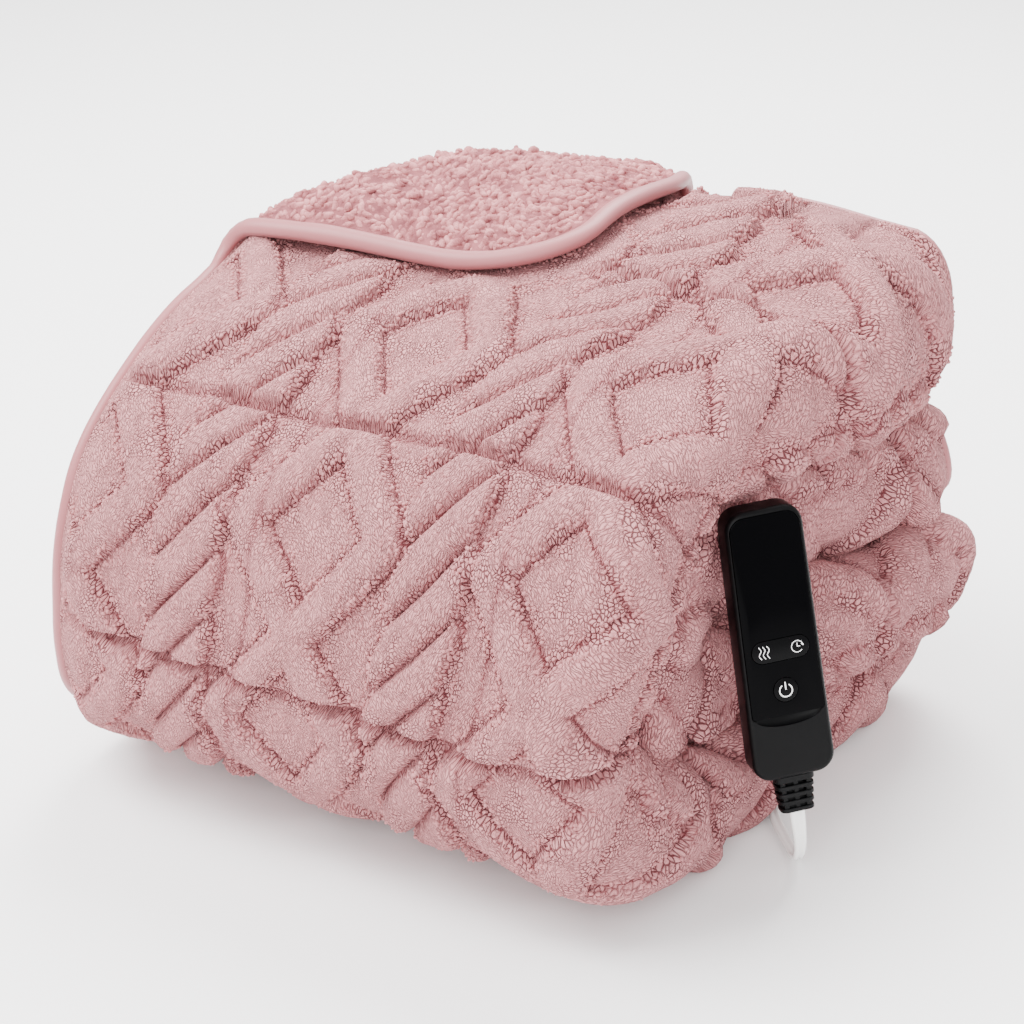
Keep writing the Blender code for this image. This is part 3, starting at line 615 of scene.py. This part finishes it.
stripEnds = {  # share of the run, left end, right end
    "top": ((0.0, -0.174, 0.195), (0.5, -0.174, 0.200), (0.8, -0.172, 0.180), (1.0, -0.168, 0.156)),
    "frontWrap": ((0.35, -0.167, 0.162), (0.60, -0.176, 0.148), (0.80, -0.184, 0.164)),
    "bottom": ((0.0, -0.178, 0.171), (0.6, -0.164, 0.174)),
    "backFold": ((0.3, -0.160, 0.187), (0.9, -0.160, 0.212)),
    "second": ((0.4, -0.162, 0.200), (0.8, -0.164, 0.166), (1.0, -0.166, 0.154)),
    "middleFold": ((0.5, -0.168, 0.148),),
    "third": ((0.2, -0.170, 0.156), (0.6, -0.168, 0.184), (1.0, -0.166, 0.200)),
}
topMiddle = 1.5 * plyPitch + throw["ply"] / 2 + 3 * stripPitch


def runLengths(rows):
    return [math.pi * size if turn else size for _, size, turn, _ in rows]


def runStarts(rows):
    begin, found = 0.0, {}
    for (name, *_), length in zip(rows, runLengths(rows)):
        found[name] = (begin, length)
        begin += length
    return found


throwWidth, throwLength = sum(runLengths(acrossRows)), sum(runLengths(alongRows))
acrossAt, alongAt = runStarts(acrossRows), runStarts(alongRows)
endStations = [
    (alongAt[name][0] + share * alongAt[name][1], *ends) for name, found in stripEnds.items() for share, *ends in found
]
shownAcross = sum(acrossAt["outerFold"])
shownAlong = alongAt["frontWrap"][0] + 0.84 * alongAt["frontWrap"][1]


def walk(rows, distance, start, heading):
    x, y = start
    lengths = runLengths(rows)
    for number, (_, size, turn, _) in enumerate(rows):
        part = distance if number == len(rows) - 1 else min(distance, lengths[number])
        forwardX, forwardY = math.cos(heading), math.sin(heading)
        if turn:
            angle = part / size
            ahead, aside = size * math.sin(angle), size * (1 - math.cos(angle)) * turn
            x += forwardX * ahead - forwardY * aside
            y += forwardY * ahead + forwardX * aside
            heading += turn * angle
        else:
            x += forwardX * part
            y += forwardY * part
        distance -= part
        if distance <= 0:
            break
    return x, y, heading


def endsAt(along):
    before = endStations[0]
    for station in endStations[1:]:
        if station[0] >= along:
            t = smooth(before[0], station[0], along)
            return tuple(a + (b - a) * t for a, b in zip(before[1:], station[1:]))
        before = station
    return before[1:]


def settled(point):
    # the soft stack is lower at its front, puffed up at its open back and uneven all over
    x, y, z = point
    right = smooth(0.02, 0.20, x)
    left = smooth(-0.10, -0.19, x)
    lift = -0.055 + 0.195 * smooth(-0.12, 0.15, y)
    lift -= 0.03 * right * smooth(0.02, -0.12, y) + 0.03 * left * smooth(0.05, 0.16, y)
    lift -= 0.06 * smooth(0.09, 0.01, x) * smooth(-0.14, -0.04, x) * smooth(0.06, 0.16, y)
    lift -= 0.03 * smooth(0.08, 0.18, x) * smooth(0.04, 0.14, y)
    sink = 0.019 * smooth(0.05, 0.18, x) * smooth(-0.02, 0.12, y) * smooth(0.0, 0.17, z) * smooth(0.27, 0.20, z)
    swell = 0.013 * smooth(-0.02, -0.13, y) * smooth(0.0, 0.03, z) * smooth(0.13, 0.05, z)
    x += 0.012 * smooth(0.12, 0.19, x) * smooth(0.05, 0.13, y) * smooth(0.085, 0.131, z) * smooth(0.177, 0.131, z)
    rest = smooth(0.0, 0.05, z)
    wave = [noise.noise(Vector((x, y, z)) * 7.0 + Vector(seed)) * rest for seed in throw["waves"]]
    return Vector((x + 0.006 * wave[0], y - swell + 0.007 * wave[1], z * (1 + lift) - sink + 0.006 * wave[2]))


def turnedBack(middle, lean):
    # the top ply's back left corner is folded over, which shows the sherpa side
    along = Vector((1, 1)).normalized()
    outward = Vector((-along.y, along.x))
    offset = middle.xy - Vector(throw["cornerFold"])
    past = offset.dot(outward)
    if past > 0:
        begin, halfway, end = throw["cornerRoll"]
        reach = offset.dot(along)
        roll = begin + (halfway - begin) * smooth(0.0, 0.10, reach) + (end - halfway) * smooth(0.12, 0.28, reach)
        angle = min(past / roll, math.pi)
        rest = max(past - math.pi * roll, 0.0)
        flat = middle.xy + outward * (roll * math.sin(angle) - rest - past)
        lean = Vector((-outward.x * math.sin(angle), -outward.y * math.sin(angle), math.cos(angle)))
        rise = roll * (1 - math.cos(angle)) - (2 * roll - plyPitch) * smooth(0.0, 0.07, rest)
        middle = Vector((flat.x, flat.y, middle.z + rise))
    middle.z -= throw["cornerDroop"] * max(middle.y - throw["backHem"], 0.0) ** 2
    return middle, lean


def folded(flat):
    # where a point of the flat throw, (across, along, height over its middle), lies when it is folded
    across, along, height = flat
    x, up, turnX = walk(acrossRows, across, (throw["leftEnd"], 1.5 * plyPitch), 0.0)
    y, z, turnY = walk(alongRows, along, (throw["backHem"], topMiddle), math.pi)
    outward = Vector((0, math.sin(turnY), -math.cos(turnY)))
    middle = Vector((x, y, z)) + outward * up
    lean = Vector((-math.sin(turnX), 0, 0)) + outward * math.cos(turnX)
    if across < acrossAt["outerPly"][1] and along < alongAt["top"][1]:
        middle.y += throw["cornerPulled"] * smooth(0.08, -0.06, middle.x) * (1 - along / alongAt["top"][1])
        middle, lean = turnedBack(middle, lean)
    place = middle + lean * height
    left, right = endsAt(along)
    reach = throw["plyLength"] + 1.5 * plyPitch + throw["ply"] / 2
    place.x = left + (place.x - throw["leftEnd"]) / reach * (right - left)
    return settled(place)


def fromHem(across, along):
    # distance from the hem, where the flat throw's corners are cut round, and the place after that cut
    u = throw["hemRound"] - min(across, throwWidth - across)
    v = throw["hemRound"] - min(along, throwLength - along)
    if u > 0 and v > 0:
        pull = 1 - max(u, v) / math.hypot(u, v)
        across += u * pull if across < throwWidth / 2 else -u * pull
        along += v * pull if along < throwLength / 2 else -v * pull
    return across, along, throw["hemRound"] - max(u, v)


# the embossed plush: cables of slanting lobes between columns of diamonds, in millimetre-true repeats
pattern = {
    "repeat": 0.155,
    "cableMiddle": 0.0905,
    "cableHalf": 0.022,
    "lobePitch": 0.0285,
    "lobeStart": 0.0040,
    "node": 0.2510,
    "diamondPitch": 0.0880,
    "diamondHalf": 0.0450,
    "bar": 0.0260,
    "seamPitch": 0.1160,
    "raised": 0.0080,
    "seam": 0.0034,
    "stitchOff": -0.034,
    "pressed": (0.200, 0.152),
}


def relief(across, along):
    # height of the embossing, and from 0 to 1 how deep in a crease and how much on a slope beside one a place lies
    across += 0.0022 * noise.noise(Vector((across * 22, along * 22, 3.3)))
    along += 0.0022 * noise.noise(Vector((across * 22, along * 22, 8.1)))
    repeat = pattern["repeat"]
    column = (across - pattern["cableMiddle"] + repeat / 2) % repeat - repeat / 2
    lobe = (along + column - pattern["lobeStart"]) / pattern["lobePitch"] + 0.5
    ridge = abs(2 * (lobe % 1.0) - 1)
    reach = abs(column) / pattern["cableHalf"] + 0.25 * ridge**2
    cable = (1 - ridge**4) * (1 - smooth(0.88, 1.22, reach))
    side = abs(abs(column) - repeat / 2)
    edge = pattern["diamondHalf"] * (1 - abs(2 * ((along - pattern["node"]) / pattern["diamondPitch"] % 1.0) - 1))
    off = abs(side - edge) / pattern["bar"] + 0.035 * noise.noise(Vector((across * 260, along * 260, 9.0)))
    bar = (1 - smooth(0.46, 0.62, off)) * (1 - 0.35 * smooth(0.0, 0.5, off) ** 2)
    row = (along - pattern["node"]) / pattern["seamPitch"] % 1.0
    seam = 1 - smooth(0.0, 0.0042, min(row, 1 - row) * pattern["seamPitch"])
    stitch = (across - pattern["cableMiddle"] - repeat / 2 - pattern["stitchOff"] + repeat / 2) % repeat - repeat / 2
    stitch = 1 - smooth(0.0, 0.0035, abs(stitch))
    crease = max(
        smooth(0.56, 0.63, off) * (1 - smooth(0.63, 0.71, off)),
        0.7 * smooth(1.04, 1.14, reach) * (1 - smooth(1.14, 1.24, reach)),
        smooth(0.88, 1.0, ridge) * (1 - smooth(0.9, 1.1, reach)),
        0.6 * seam,
        0.5 * stitch,
    )
    barSlope = smooth(0.3, 0.5, off) * (1 - smooth(0.7, 1.1, off))
    slope = max(barSlope, smooth(0.75, 1.0, reach) * (1 - smooth(1.2, 1.7, reach)))
    taper, (pressedX, pressedY) = throw["hemTaper"], pattern["pressed"]
    raised = max(smooth(0, 0.02, across - pressedX), smooth(0, 0.02, along - pressedY))
    raised *= smooth(0.0, taper, across) * smooth(0.0, 2.5 * taper, along)
    raised *= 1 - smooth(shownAcross, shownAcross + 0.03, across)
    puff = 1.0 + 0.18 * noise.noise(Vector((across * 60, along * 60, 5.0)))
    height = pattern["raised"] * max(cable, bar) * (1 - seam) * puff
    height -= pattern["seam"] * seam + 0.0010 * stitch * (1 - max(cable, bar)) + 0.0007 * crease
    grain = 0.0004 * noise.noise(Vector((across * 520, along * 300, 1.7))) * smooth(0.0, taper, min(across, along))
    return height * raised + grain, crease * raised, slope


leadBeforeCoil = leadRoute[:24]


def clearOfLead(point):
    # the bottom strip's rounded end is pressed up a little where the lead lies under it
    if point.z < throw["groove"]:
        room = 0.0
        for (x0, y0, _), (x1, y1, _) in zip(leadBeforeCoil, leadBeforeCoil[1:]):
            if y0 <= point.y <= y1:
                x = x0 + (x1 - x0) * (point.y - y0) / (y1 - y0)
                room = throw["groove"] * (1 - smooth(0.0045, 0.0105, abs(point.x - x)))
                break
        point.z = max(point.z, room)
    return point


def foldLines(rows):
    lines = [0.0]
    for (*_, steps), (begin, length) in zip(rows, runStarts(rows).values()):
        lines += [begin + length * (i + 1) / steps for i in range(steps)]
    return lines


def refine(bm, inside, step):
    # divides the cells of a region evenly, first across and then along
    for axis in (0, 1):
        groups = {}
        for edge in bm.edges:
            a, b = edge.verts[0].co, edge.verts[1].co
            if abs(a[1 - axis] - b[1 - axis]) < 1e-7 and any(inside(f.calc_center_median()) for f in edge.link_faces):
                cuts = round(abs(a[axis] - b[axis]) / step) - 1
                if cuts > 0:
                    groups.setdefault(cuts, []).append(edge)
        for cuts, edges in groups.items():
            bmesh.ops.subdivide_edges(bm, edges=edges, cuts=cuts, use_grid_fill=True)


def onTop(middle):
    return middle.x < shownAcross and middle.y < shownAlong


def onRightEnd(middle):
    return acrossAt["outerPly"][1] - 0.07 < middle.x < shownAcross + 0.02 and middle.y > shownAlong


def onCorner(middle):
    across, along = throw["cornerShown"]
    return middle.x < across and middle.y < along


def loopVertices(mesh):
    found = np.zeros(len(mesh.loops), dtype=np.int32)
    mesh.loops.foreach_get("vertex_index", found)
    return found


def clothSheet(name, side, regions, embossed):
    linesX, linesY = foldLines(acrossRows), foldLines(alongRows)
    bm = bmesh.new()
    bmesh.ops.create_grid(bm, x_segments=len(linesX) - 1, y_segments=len(linesY) - 1, size=0.5)
    for vert in bm.verts:
        i = round((vert.co.x + 0.5) * (len(linesX) - 1))
        j = round((vert.co.y + 0.5) * (len(linesY) - 1))
        vert.co = (linesX[i], linesY[j], 0)
    for inside, step in regions:
        refine(bm, inside, step)
    count = len(bm.verts)
    flat, creases, slopes = np.zeros((count, 2)), np.zeros(count), np.zeros(count)
    for vert in bm.verts:
        across, along, _ = vert.co
        height, crease, slope = relief(across, along) if embossed else (0.0, 0.0, 0.0)
        flat[vert.index] = (across, along)
        creases[vert.index], slopes[vert.index] = crease, slope
        across, along, hem = fromHem(across, along)
        thin = throw["hemThin"] + (1 - throw["hemThin"]) * smooth(0.0, throw["hemTaper"], hem)
        vert.co = clearOfLead(folded((across, along, side * (throw["ply"] / 2) * thin + height)))
    if side < 0:
        bmesh.ops.reverse_faces(bm, faces=bm.faces)
    mesh = meshFrom(bm, name)
    mesh.uv_layers.new(name="flat").data.foreach_set("uv", flat[loopVertices(mesh)].ravel())
    mesh.attributes.new("crease", "FLOAT", "POINT").data.foreach_set("value", creases)
    mesh.attributes.new("slope", "FLOAT", "POINT").data.foreach_set("value", slopes)
    return mesh


# short knitted polyester plush: the pile parts in fine cracks, into ribs over the bars and into nubs beside the
# creases; shade is painted into its cracks and creases
plushLook = {
    "light": "#BA7F80",
    "middle": "#A3696B",
    # deep is the colour of the painted shade in the pile's cracks and in the embossing's creases
    "deep": "#6A3236",
    "comb": (0.95, 0.30),
    "combTurns": (24, -52),
    "nub": (0.56, 0.54),
    "fibre": (1.1, 0.28),
    "crack": 0.18,
    "height": 0.0020,
}


def pileMaterial(name, rough, sheen, sheenRough, tint):
    facts = {"Roughness": rough, "Sheen Weight": sheen, "Sheen Roughness": sheenRough, "Sheen Tint": linear(tint)}
    return newMaterial(name, {**facts, "Specular IOR Level": 0.15})


def colourAndBump(tree, shader, tone, stops, bumpFacts):
    ramp = addNode(tree, "ShaderNodeValToRGB", {"Fac": tone})
    elements = ramp.color_ramp.elements
    for number, (position, colour) in enumerate(stops):
        element = elements[number] if number < 2 else elements.new(position)
        element.position, element.color = position, linear(colour)
    tree.links.new(ramp.outputs["Color"], shader.inputs["Base Color"])
    bump = addNode(tree, "ShaderNodeBump", bumpFacts)
    tree.links.new(bump.outputs["Normal"], shader.inputs["Normal"])


def plushMaterial():
    made, tree, shader = pileMaterial("dustyRosePolyesterPlush", 0.9, 0.12, 0.35, "#E3AFB1")

    def number(kind, a, b, c=0.0, clamp=False):
        return addNode(tree, "ShaderNodeMath", {0: a, 1: b, 2: c}, operation=kind, use_clamp=clamp).outputs[0]

    flat = addNode(tree, "ShaderNodeUVMap", uv_map="flat").outputs["UV"]
    millimetres = addNode(tree, "ShaderNodeMapping", {"Vector": flat, "Scale": (1000, 1000, 1000)}).outputs["Vector"]
    noises = [{"Vector": millimetres, "Scale": s, "Detail": d} for s, d in ((0.12, 2.0), (0.045, 3.0), (0.022, 1.0))]
    wander, patches, swirl = (addNode(tree, "ShaderNodeTexNoise", n, noise_dimensions="2D") for n in noises)
    patches = patches.outputs["Fac"]
    swirl = number("MULTIPLY_ADD", swirl.outputs["Fac"], 14.0, -6.5, True)
    wander = addNode(tree, "ShaderNodeVectorMath", {0: wander.outputs["Color"], "Scale": 4.5}, operation="SCALE")
    bent = addNode(tree, "ShaderNodeVectorMath", {0: millimetres, 1: wander.outputs[0]}, operation="ADD").outputs[0]

    def laid(scale, angle):
        facts = {"Vector": bent, "Scale": (*scale, 1), "Rotation": (0, 0, math.radians(angle))}
        return addNode(tree, "ShaderNodeMapping", facts, vector_type="TEXTURE").outputs["Vector"]

    def cracks(perMillimetre, angle):
        size = [1 / p for p in perMillimetre]
        edges = {"feature": "DISTANCE_TO_EDGE", "voronoi_dimensions": "2D"}
        gap = addNode(tree, "ShaderNodeTexVoronoi", {"Vector": laid(size, angle), "Scale": 1.0}, **edges).outputs[0]
        return addNode(tree, "ShaderNodeMapRange", {"Value": gap, "From Max": plushLook["crack"]}).outputs[0]

    def mixed(share, a, b):
        return addNode(tree, "ShaderNodeMix", {"Factor": share, "A": a, "B": b}).outputs["Result"]

    combed = mixed(swirl, *(cracks(plushLook["comb"], angle) for angle in plushLook["combTurns"]))
    crease = addNode(tree, "ShaderNodeAttribute", attribute_name="crease").outputs["Fac"]
    slope = addNode(tree, "ShaderNodeAttribute", attribute_name="slope").outputs["Fac"]
    nubby = number("MULTIPLY_ADD", slope, 0.7, number("MULTIPLY_ADD", patches, 5.0, -2.4), True)
    clumps = mixed(nubby, combed, cracks(plushLook["nub"], 0))
    strength = number("MULTIPLY_ADD", nubby, 0.45, 0.55)
    alongFibre = laid([1 / p for p in plushLook["fibre"]], plushLook["combTurns"][0])
    fibreFacts = {"Vector": alongFibre, "Scale": 1.0, "Detail": 2.0}
    fibres = addNode(tree, "ShaderNodeTexNoise", fibreFacts, noise_dimensions="2D").outputs["Fac"]
    parted = number("MULTIPLY", number("SUBTRACT", 1.0, clumps), strength)
    height = number("MULTIPLY_ADD", parted, -1.0, number("MULTIPLY", fibres, 0.5))
    # painted shade: the colour darkens where the pile parts, in the cracks between clumps
    tone = number("MULTIPLY_ADD", parted, -0.85, 0.84)
    tone = number("ADD", tone, number("MULTIPLY_ADD", fibres, 0.4, -0.2))
    tone = number("ADD", tone, number("MULTIPLY_ADD", patches, 0.24, -0.12))
    # painted shade: the colour darkens in the embossing's creases, seams and stitch lines
    tone = number("MULTIPLY_ADD", crease, -0.6, tone)
    stops = [(at, plushLook[name]) for at, name in ((0.08, "deep"), (0.86, "light"), (0.5, "middle"))]
    colourAndBump(tree, shader, tone, stops, {"Height": height, "Distance": plushLook["height"], "Strength": 0.9})
    return made


def sherpaMaterial(name, light, deep):
    made, tree, shader = pileMaterial(name, 0.92, 0.15, 0.4, "#E3B4B5")
    place = addNode(tree, "ShaderNodeTexCoord").outputs["Object"]
    fibres, clumps = (
        addNode(tree, "ShaderNodeTexNoise", {"Vector": place, "Scale": scale, "Detail": detail}).outputs["Fac"]
        for scale, detail in ((1500.0, 3.0), (130.0, 2.0))
    )
    both = addNode(tree, "ShaderNodeMath", {0: fibres, 1: 0.5, 2: clumps}, operation="MULTIPLY_ADD").outputs[0]
    bumpFacts = {"Height": fibres, "Distance": 0.0006, "Strength": 0.7}
    colourAndBump(tree, shader, both, ((0.48, deep), (0.92, light)), bumpFacts)
    return made


plush = plushMaterial()
plushTips = sherpaMaterial("dustyRosePlushTips", plushLook["light"], plushLook["middle"])
sherpa = sherpaMaterial("rosePolyesterSherpa", "#C28182", "#7C4246")
# painted shade: the sheet under the curls is coloured darker than the curls, for the shade that falls between them
sherpaShadedGround = sherpaMaterial("rosePolyesterSherpaShadedGround", "#94595C", "#6A3A3E")  # darker between the curls

plushMesh = clothSheet("plushFace", 1, ((onTop, throw["cell"]), (onRightEnd, throw["sideCell"])), True)
plushFace = addPiece(plushMesh, "plushFace", plush, "throw_set")
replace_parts(plushFace, "throw")
print("plush face", len(plushMesh.polygons), "faces")
sherpaMesh = clothSheet("sherpaBack", -1, ((onCorner, throw["cornerCell"]),), False)
sherpaBack = addPiece(sherpaMesh, "sherpaBack", sherpaShadedGround, "throw_set")
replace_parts(sherpaBack, "throw")
print("sherpa back", len(sherpaMesh.polygons), "faces")


def scattered(name, unit, centres, ups, aheads, sizes):
    # copies of one small form: its points and faces are repeated with arrays
    local = np.array([v.co[:] for v in unit.verts])
    order = {v: i for i, v in enumerate(unit.verts)}
    faces = [[order[v] for v in f.verts] for f in unit.faces]
    unit.free()
    ups = ups / np.linalg.norm(ups, axis=1, keepdims=True)
    aheads = aheads - ups * np.sum(aheads * ups, axis=1, keepdims=True)
    aheads /= np.linalg.norm(aheads, axis=1, keepdims=True)
    sides = np.cross(aheads, ups)
    count, each = len(centres), len(local)
    scaled = local[None] * sizes[:, None, :]
    points = centres[:, None]
    for axis, way in enumerate((sides, aheads, ups)):
        points = points + scaled[..., axis : axis + 1] * way[:, None]
    loops = np.concatenate([np.array(f) for f in faces])
    totals = np.array([len(f) for f in faces])
    corners = (loops[None] + np.arange(count)[:, None] * each).ravel()
    lengths = np.tile(totals, count)
    mesh = bpy.data.meshes.new(name)
    mesh.vertices.add(count * each)
    mesh.vertices.foreach_set("co", points.ravel())
    mesh.loops.add(len(corners))
    mesh.loops.foreach_set("vertex_index", corners.astype(np.int32))
    mesh.polygons.add(len(lengths))
    mesh.polygons.foreach_set("loop_start", np.concatenate([[0], np.cumsum(lengths)[:-1]]).astype(np.int32))
    mesh.update(calc_edges=True)
    mesh.validate()
    return mesh


def vertexData(mesh):
    # each point's place, normal and place on the flat cloth
    count = len(mesh.vertices)
    places, normals, flat = np.zeros(count * 3), np.zeros(count * 3), np.zeros((count, 2))
    uv = np.zeros(len(mesh.loops) * 2)
    mesh.vertices.foreach_get("co", places)
    mesh.vertices.foreach_get("normal", normals)
    mesh.uv_layers["flat"].data.foreach_get("uv", uv)
    flat[loopVertices(mesh)] = uv.reshape(-1, 2)
    return places.reshape(-1, 3), normals.reshape(-1, 3), flat


# clumps of pile that stand out beside the creases and fray the outline
pile = {
    "count": 9600,
    "size": (0.00105, 0.00135, 0.00135),
    "grow": (0.65, 1.2),
    "out": 0.0001,
    "jitter": 0.0005,
    "lean": (0, -0.4, -0.8),
    "fromHem": 0.004,
}


def makePile():
    dice = np.random.default_rng(11)
    places, normals, flat = vertexData(plushMesh)
    steep, creased = np.zeros(len(places)), np.zeros(len(places))
    plushMesh.attributes["slope"].data.foreach_get("value", steep)
    plushMesh.attributes["crease"].data.foreach_get("value", creased)
    seen = (flat[:, 0] < shownAcross) & (flat[:, 1] < shownAlong) & (flat.min(axis=1) > pile["fromHem"])
    chance = seen * (0.10 + steep**2) * (1 - np.minimum(creased * 1.6, 1))
    picked = dice.choice(len(places), pile["count"], replace=False, p=chance / chance.sum())
    unit = bmesh.new()
    bmesh.ops.create_icosphere(unit, subdivisions=1, radius=1.0)
    up = normals[picked]
    lean = dice.normal(0, 1, up.shape) + np.array(pile["lean"])
    jitter = dice.normal(0, pile["jitter"], up.shape)
    jitter -= up * np.sum(jitter * up, axis=1, keepdims=True)
    grow = dice.uniform(*pile["grow"], (len(picked), 1)) * (0.6 + 0.4 * steep[picked, None])
    centres, sizes = places[picked] + jitter + up * pile["out"], grow * np.array(pile["size"])
    mesh = scattered("plushPile", unit, centres, up + lean * 0.25, lean, sizes)
    print("plush pile", len(mesh.polygons), "faces")
    return addPiece(mesh, "plushPile", plushTips, "throw_set")


plushPile = makePile()

# knitted loops on the turned-back corner, each bent like a comma
curls = {
    "count": 3300,
    "size": (0.0022, 0.0037, 0.0027),
    "grow": (0.7, 1.25),
    "out": 0.0006,
    "jitter": 0.0008,
    "tilt": 0.28,
    "fromHem": 0.0015,
    "beforeFold": 0.012,
}


def makeCurls():
    dice = np.random.default_rng(5)
    places, normals, flat = vertexData(sherpaMesh)
    across, along = flat.T
    x = throw["leftEnd"] + across
    y = throw["backHem"] - along + throw["cornerPulled"] * 0.8 * (1 - along / alongAt["top"][1])
    past = ((y - throw["cornerFold"][1]) - (x - throw["cornerFold"][0])) / math.sqrt(2)
    lastAcross, lastAlong = throw["cornerShown"]
    shown = (past > -curls["beforeFold"]) & (across < lastAcross) & (along < lastAlong)
    shown = np.nonzero(shown & (np.minimum(across, along) > curls["fromHem"]))[0]
    unit = bmesh.new()
    bmesh.ops.create_uvsphere(unit, u_segments=6, v_segments=5, radius=1.0)
    for vert in unit.verts:  # bent, and thinner at its tail
        t = vert.co.y
        vert.co.x = vert.co.x * (0.85 - 0.35 * t) + 0.6 * t * t
        vert.co.z = vert.co.z * (0.85 - 0.2 * t) + 0.25
    picked = dice.choice(shown, min(curls["count"], len(shown)), replace=False)
    up = normals[picked]
    spin = 0.5 + 2.2 * np.sin(places[picked, 0] * 30) + dice.normal(0, 0.7, len(picked))
    ahead = np.stack([np.cos(spin), np.sin(spin), dice.uniform(-0.3, 0.3, len(picked))], axis=1)
    sizes = dice.uniform(*curls["grow"], (len(picked), 1)) * np.array(curls["size"])
    jitter = dice.normal(0, curls["jitter"], up.shape)
    tilt = up + dice.normal(0, curls["tilt"], up.shape)
    mesh = scattered("sherpaCurls", unit, places[picked] + jitter + up * curls["out"], tilt, ahead, sizes)
    print("sherpa curls", len(mesh.polygons), "faces")
    return addPiece(mesh, "sherpaCurls", sherpa, "throw_set")


sherpaCurls = makeCurls()

# the satin binding round the hem
binding = {"radius": 0.0045, "off": 0.0030, "step": 0.0045, "around": 14, "cornerSteps": 18, "drop": 0.0012}


def hemPath():
    # the binding's middle line around the flat throw, with its rounded corners
    off, turn, steps = binding["off"], throw["hemRound"], binding["cornerSteps"]
    width, length, reach, points = throwWidth, throwLength, turn + off, []
    sides = (
        ((turn, -off), (width - turn, -off), (width - turn, turn)),
        ((width + off, turn), (width + off, length - turn), (width - turn, length - turn)),
        ((width - turn, length + off), (turn, length + off), (turn, length - turn)),
        ((-off, length - turn), (-off, turn), (turn, turn)),
    )
    for number, (first, last, (x, y)) in enumerate(sides):
        first, last = Vector(first), Vector(last)
        count = max(1, round((last - first).length / binding["step"]))
        points += [first.lerp(last, i / count) for i in range(count)]
        for i in range(steps):
            angle = math.radians(90 * (number - 1 + i / steps))
            points.append(Vector((x + reach * math.cos(angle), y + reach * math.sin(angle))))
    return points


def makeBinding():
    path, around = hemPath(), binding["around"]
    count = len(path)
    bm, grid = rowedGrid(around, count)
    for i in range(count + 1):
        here, after, before = path[i % count], path[(i + 1) % count], path[i - 1]
        forward = (after - before).normalized()
        side = Vector((forward.y, -forward.x))
        pull = 1 + 0.05 * noise.noise(Vector((*here * 35, 0.0))) + 0.03 * noise.noise(Vector((*here * 150, 2.0)))
        reach = binding["radius"] * pull
        drop = binding["drop"] * smooth(0.17, 0.24, here.x) * smooth(0.01, 0.0, here.y)  # it sags a little at the back
        for j in range(around + 1):
            angle = 2 * math.pi * (j % around) / around
            flat = here + side * reach * math.cos(angle)
            grid[i * (around + 1) + j].co = folded((flat.x, flat.y, reach * math.sin(angle) - drop))
    bmesh.ops.remove_doubles(bm, verts=bm.verts, dist=1e-6)
    bmesh.ops.recalc_face_normals(bm, faces=bm.faces)
    return meshFrom(bm, "satinBinding")


satin, _, _ = newMaterial(  # woven polyester satin: smooth, with a soft broad gloss
    "rosePolyesterSatin",
    {"Base Color": linear("#985A5D"), "Roughness": 0.45, "Sheen Weight": 0.1, "Specular IOR Level": 0.35},
)
satinBinding = addPiece(makeBinding(), "satinBinding", satin, "throw_set")
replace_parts(satinBinding, "binding")
print("binding made")

nickel, _, _ = newMaterial(  # nickel-plated brass blades
    "nickelPlatedBrass", {"Base Color": linear("#B9B4AA"), "Metallic": 1.0, "Roughness": 0.24}
)
for name, material in (("plug_body", whitePvc), ("plug_blade_front", nickel), ("plug_blade_back", nickel)):
    solid = bpy.data.objects[name].data
    solid.materials.clear()
    solid.materials.append(material)
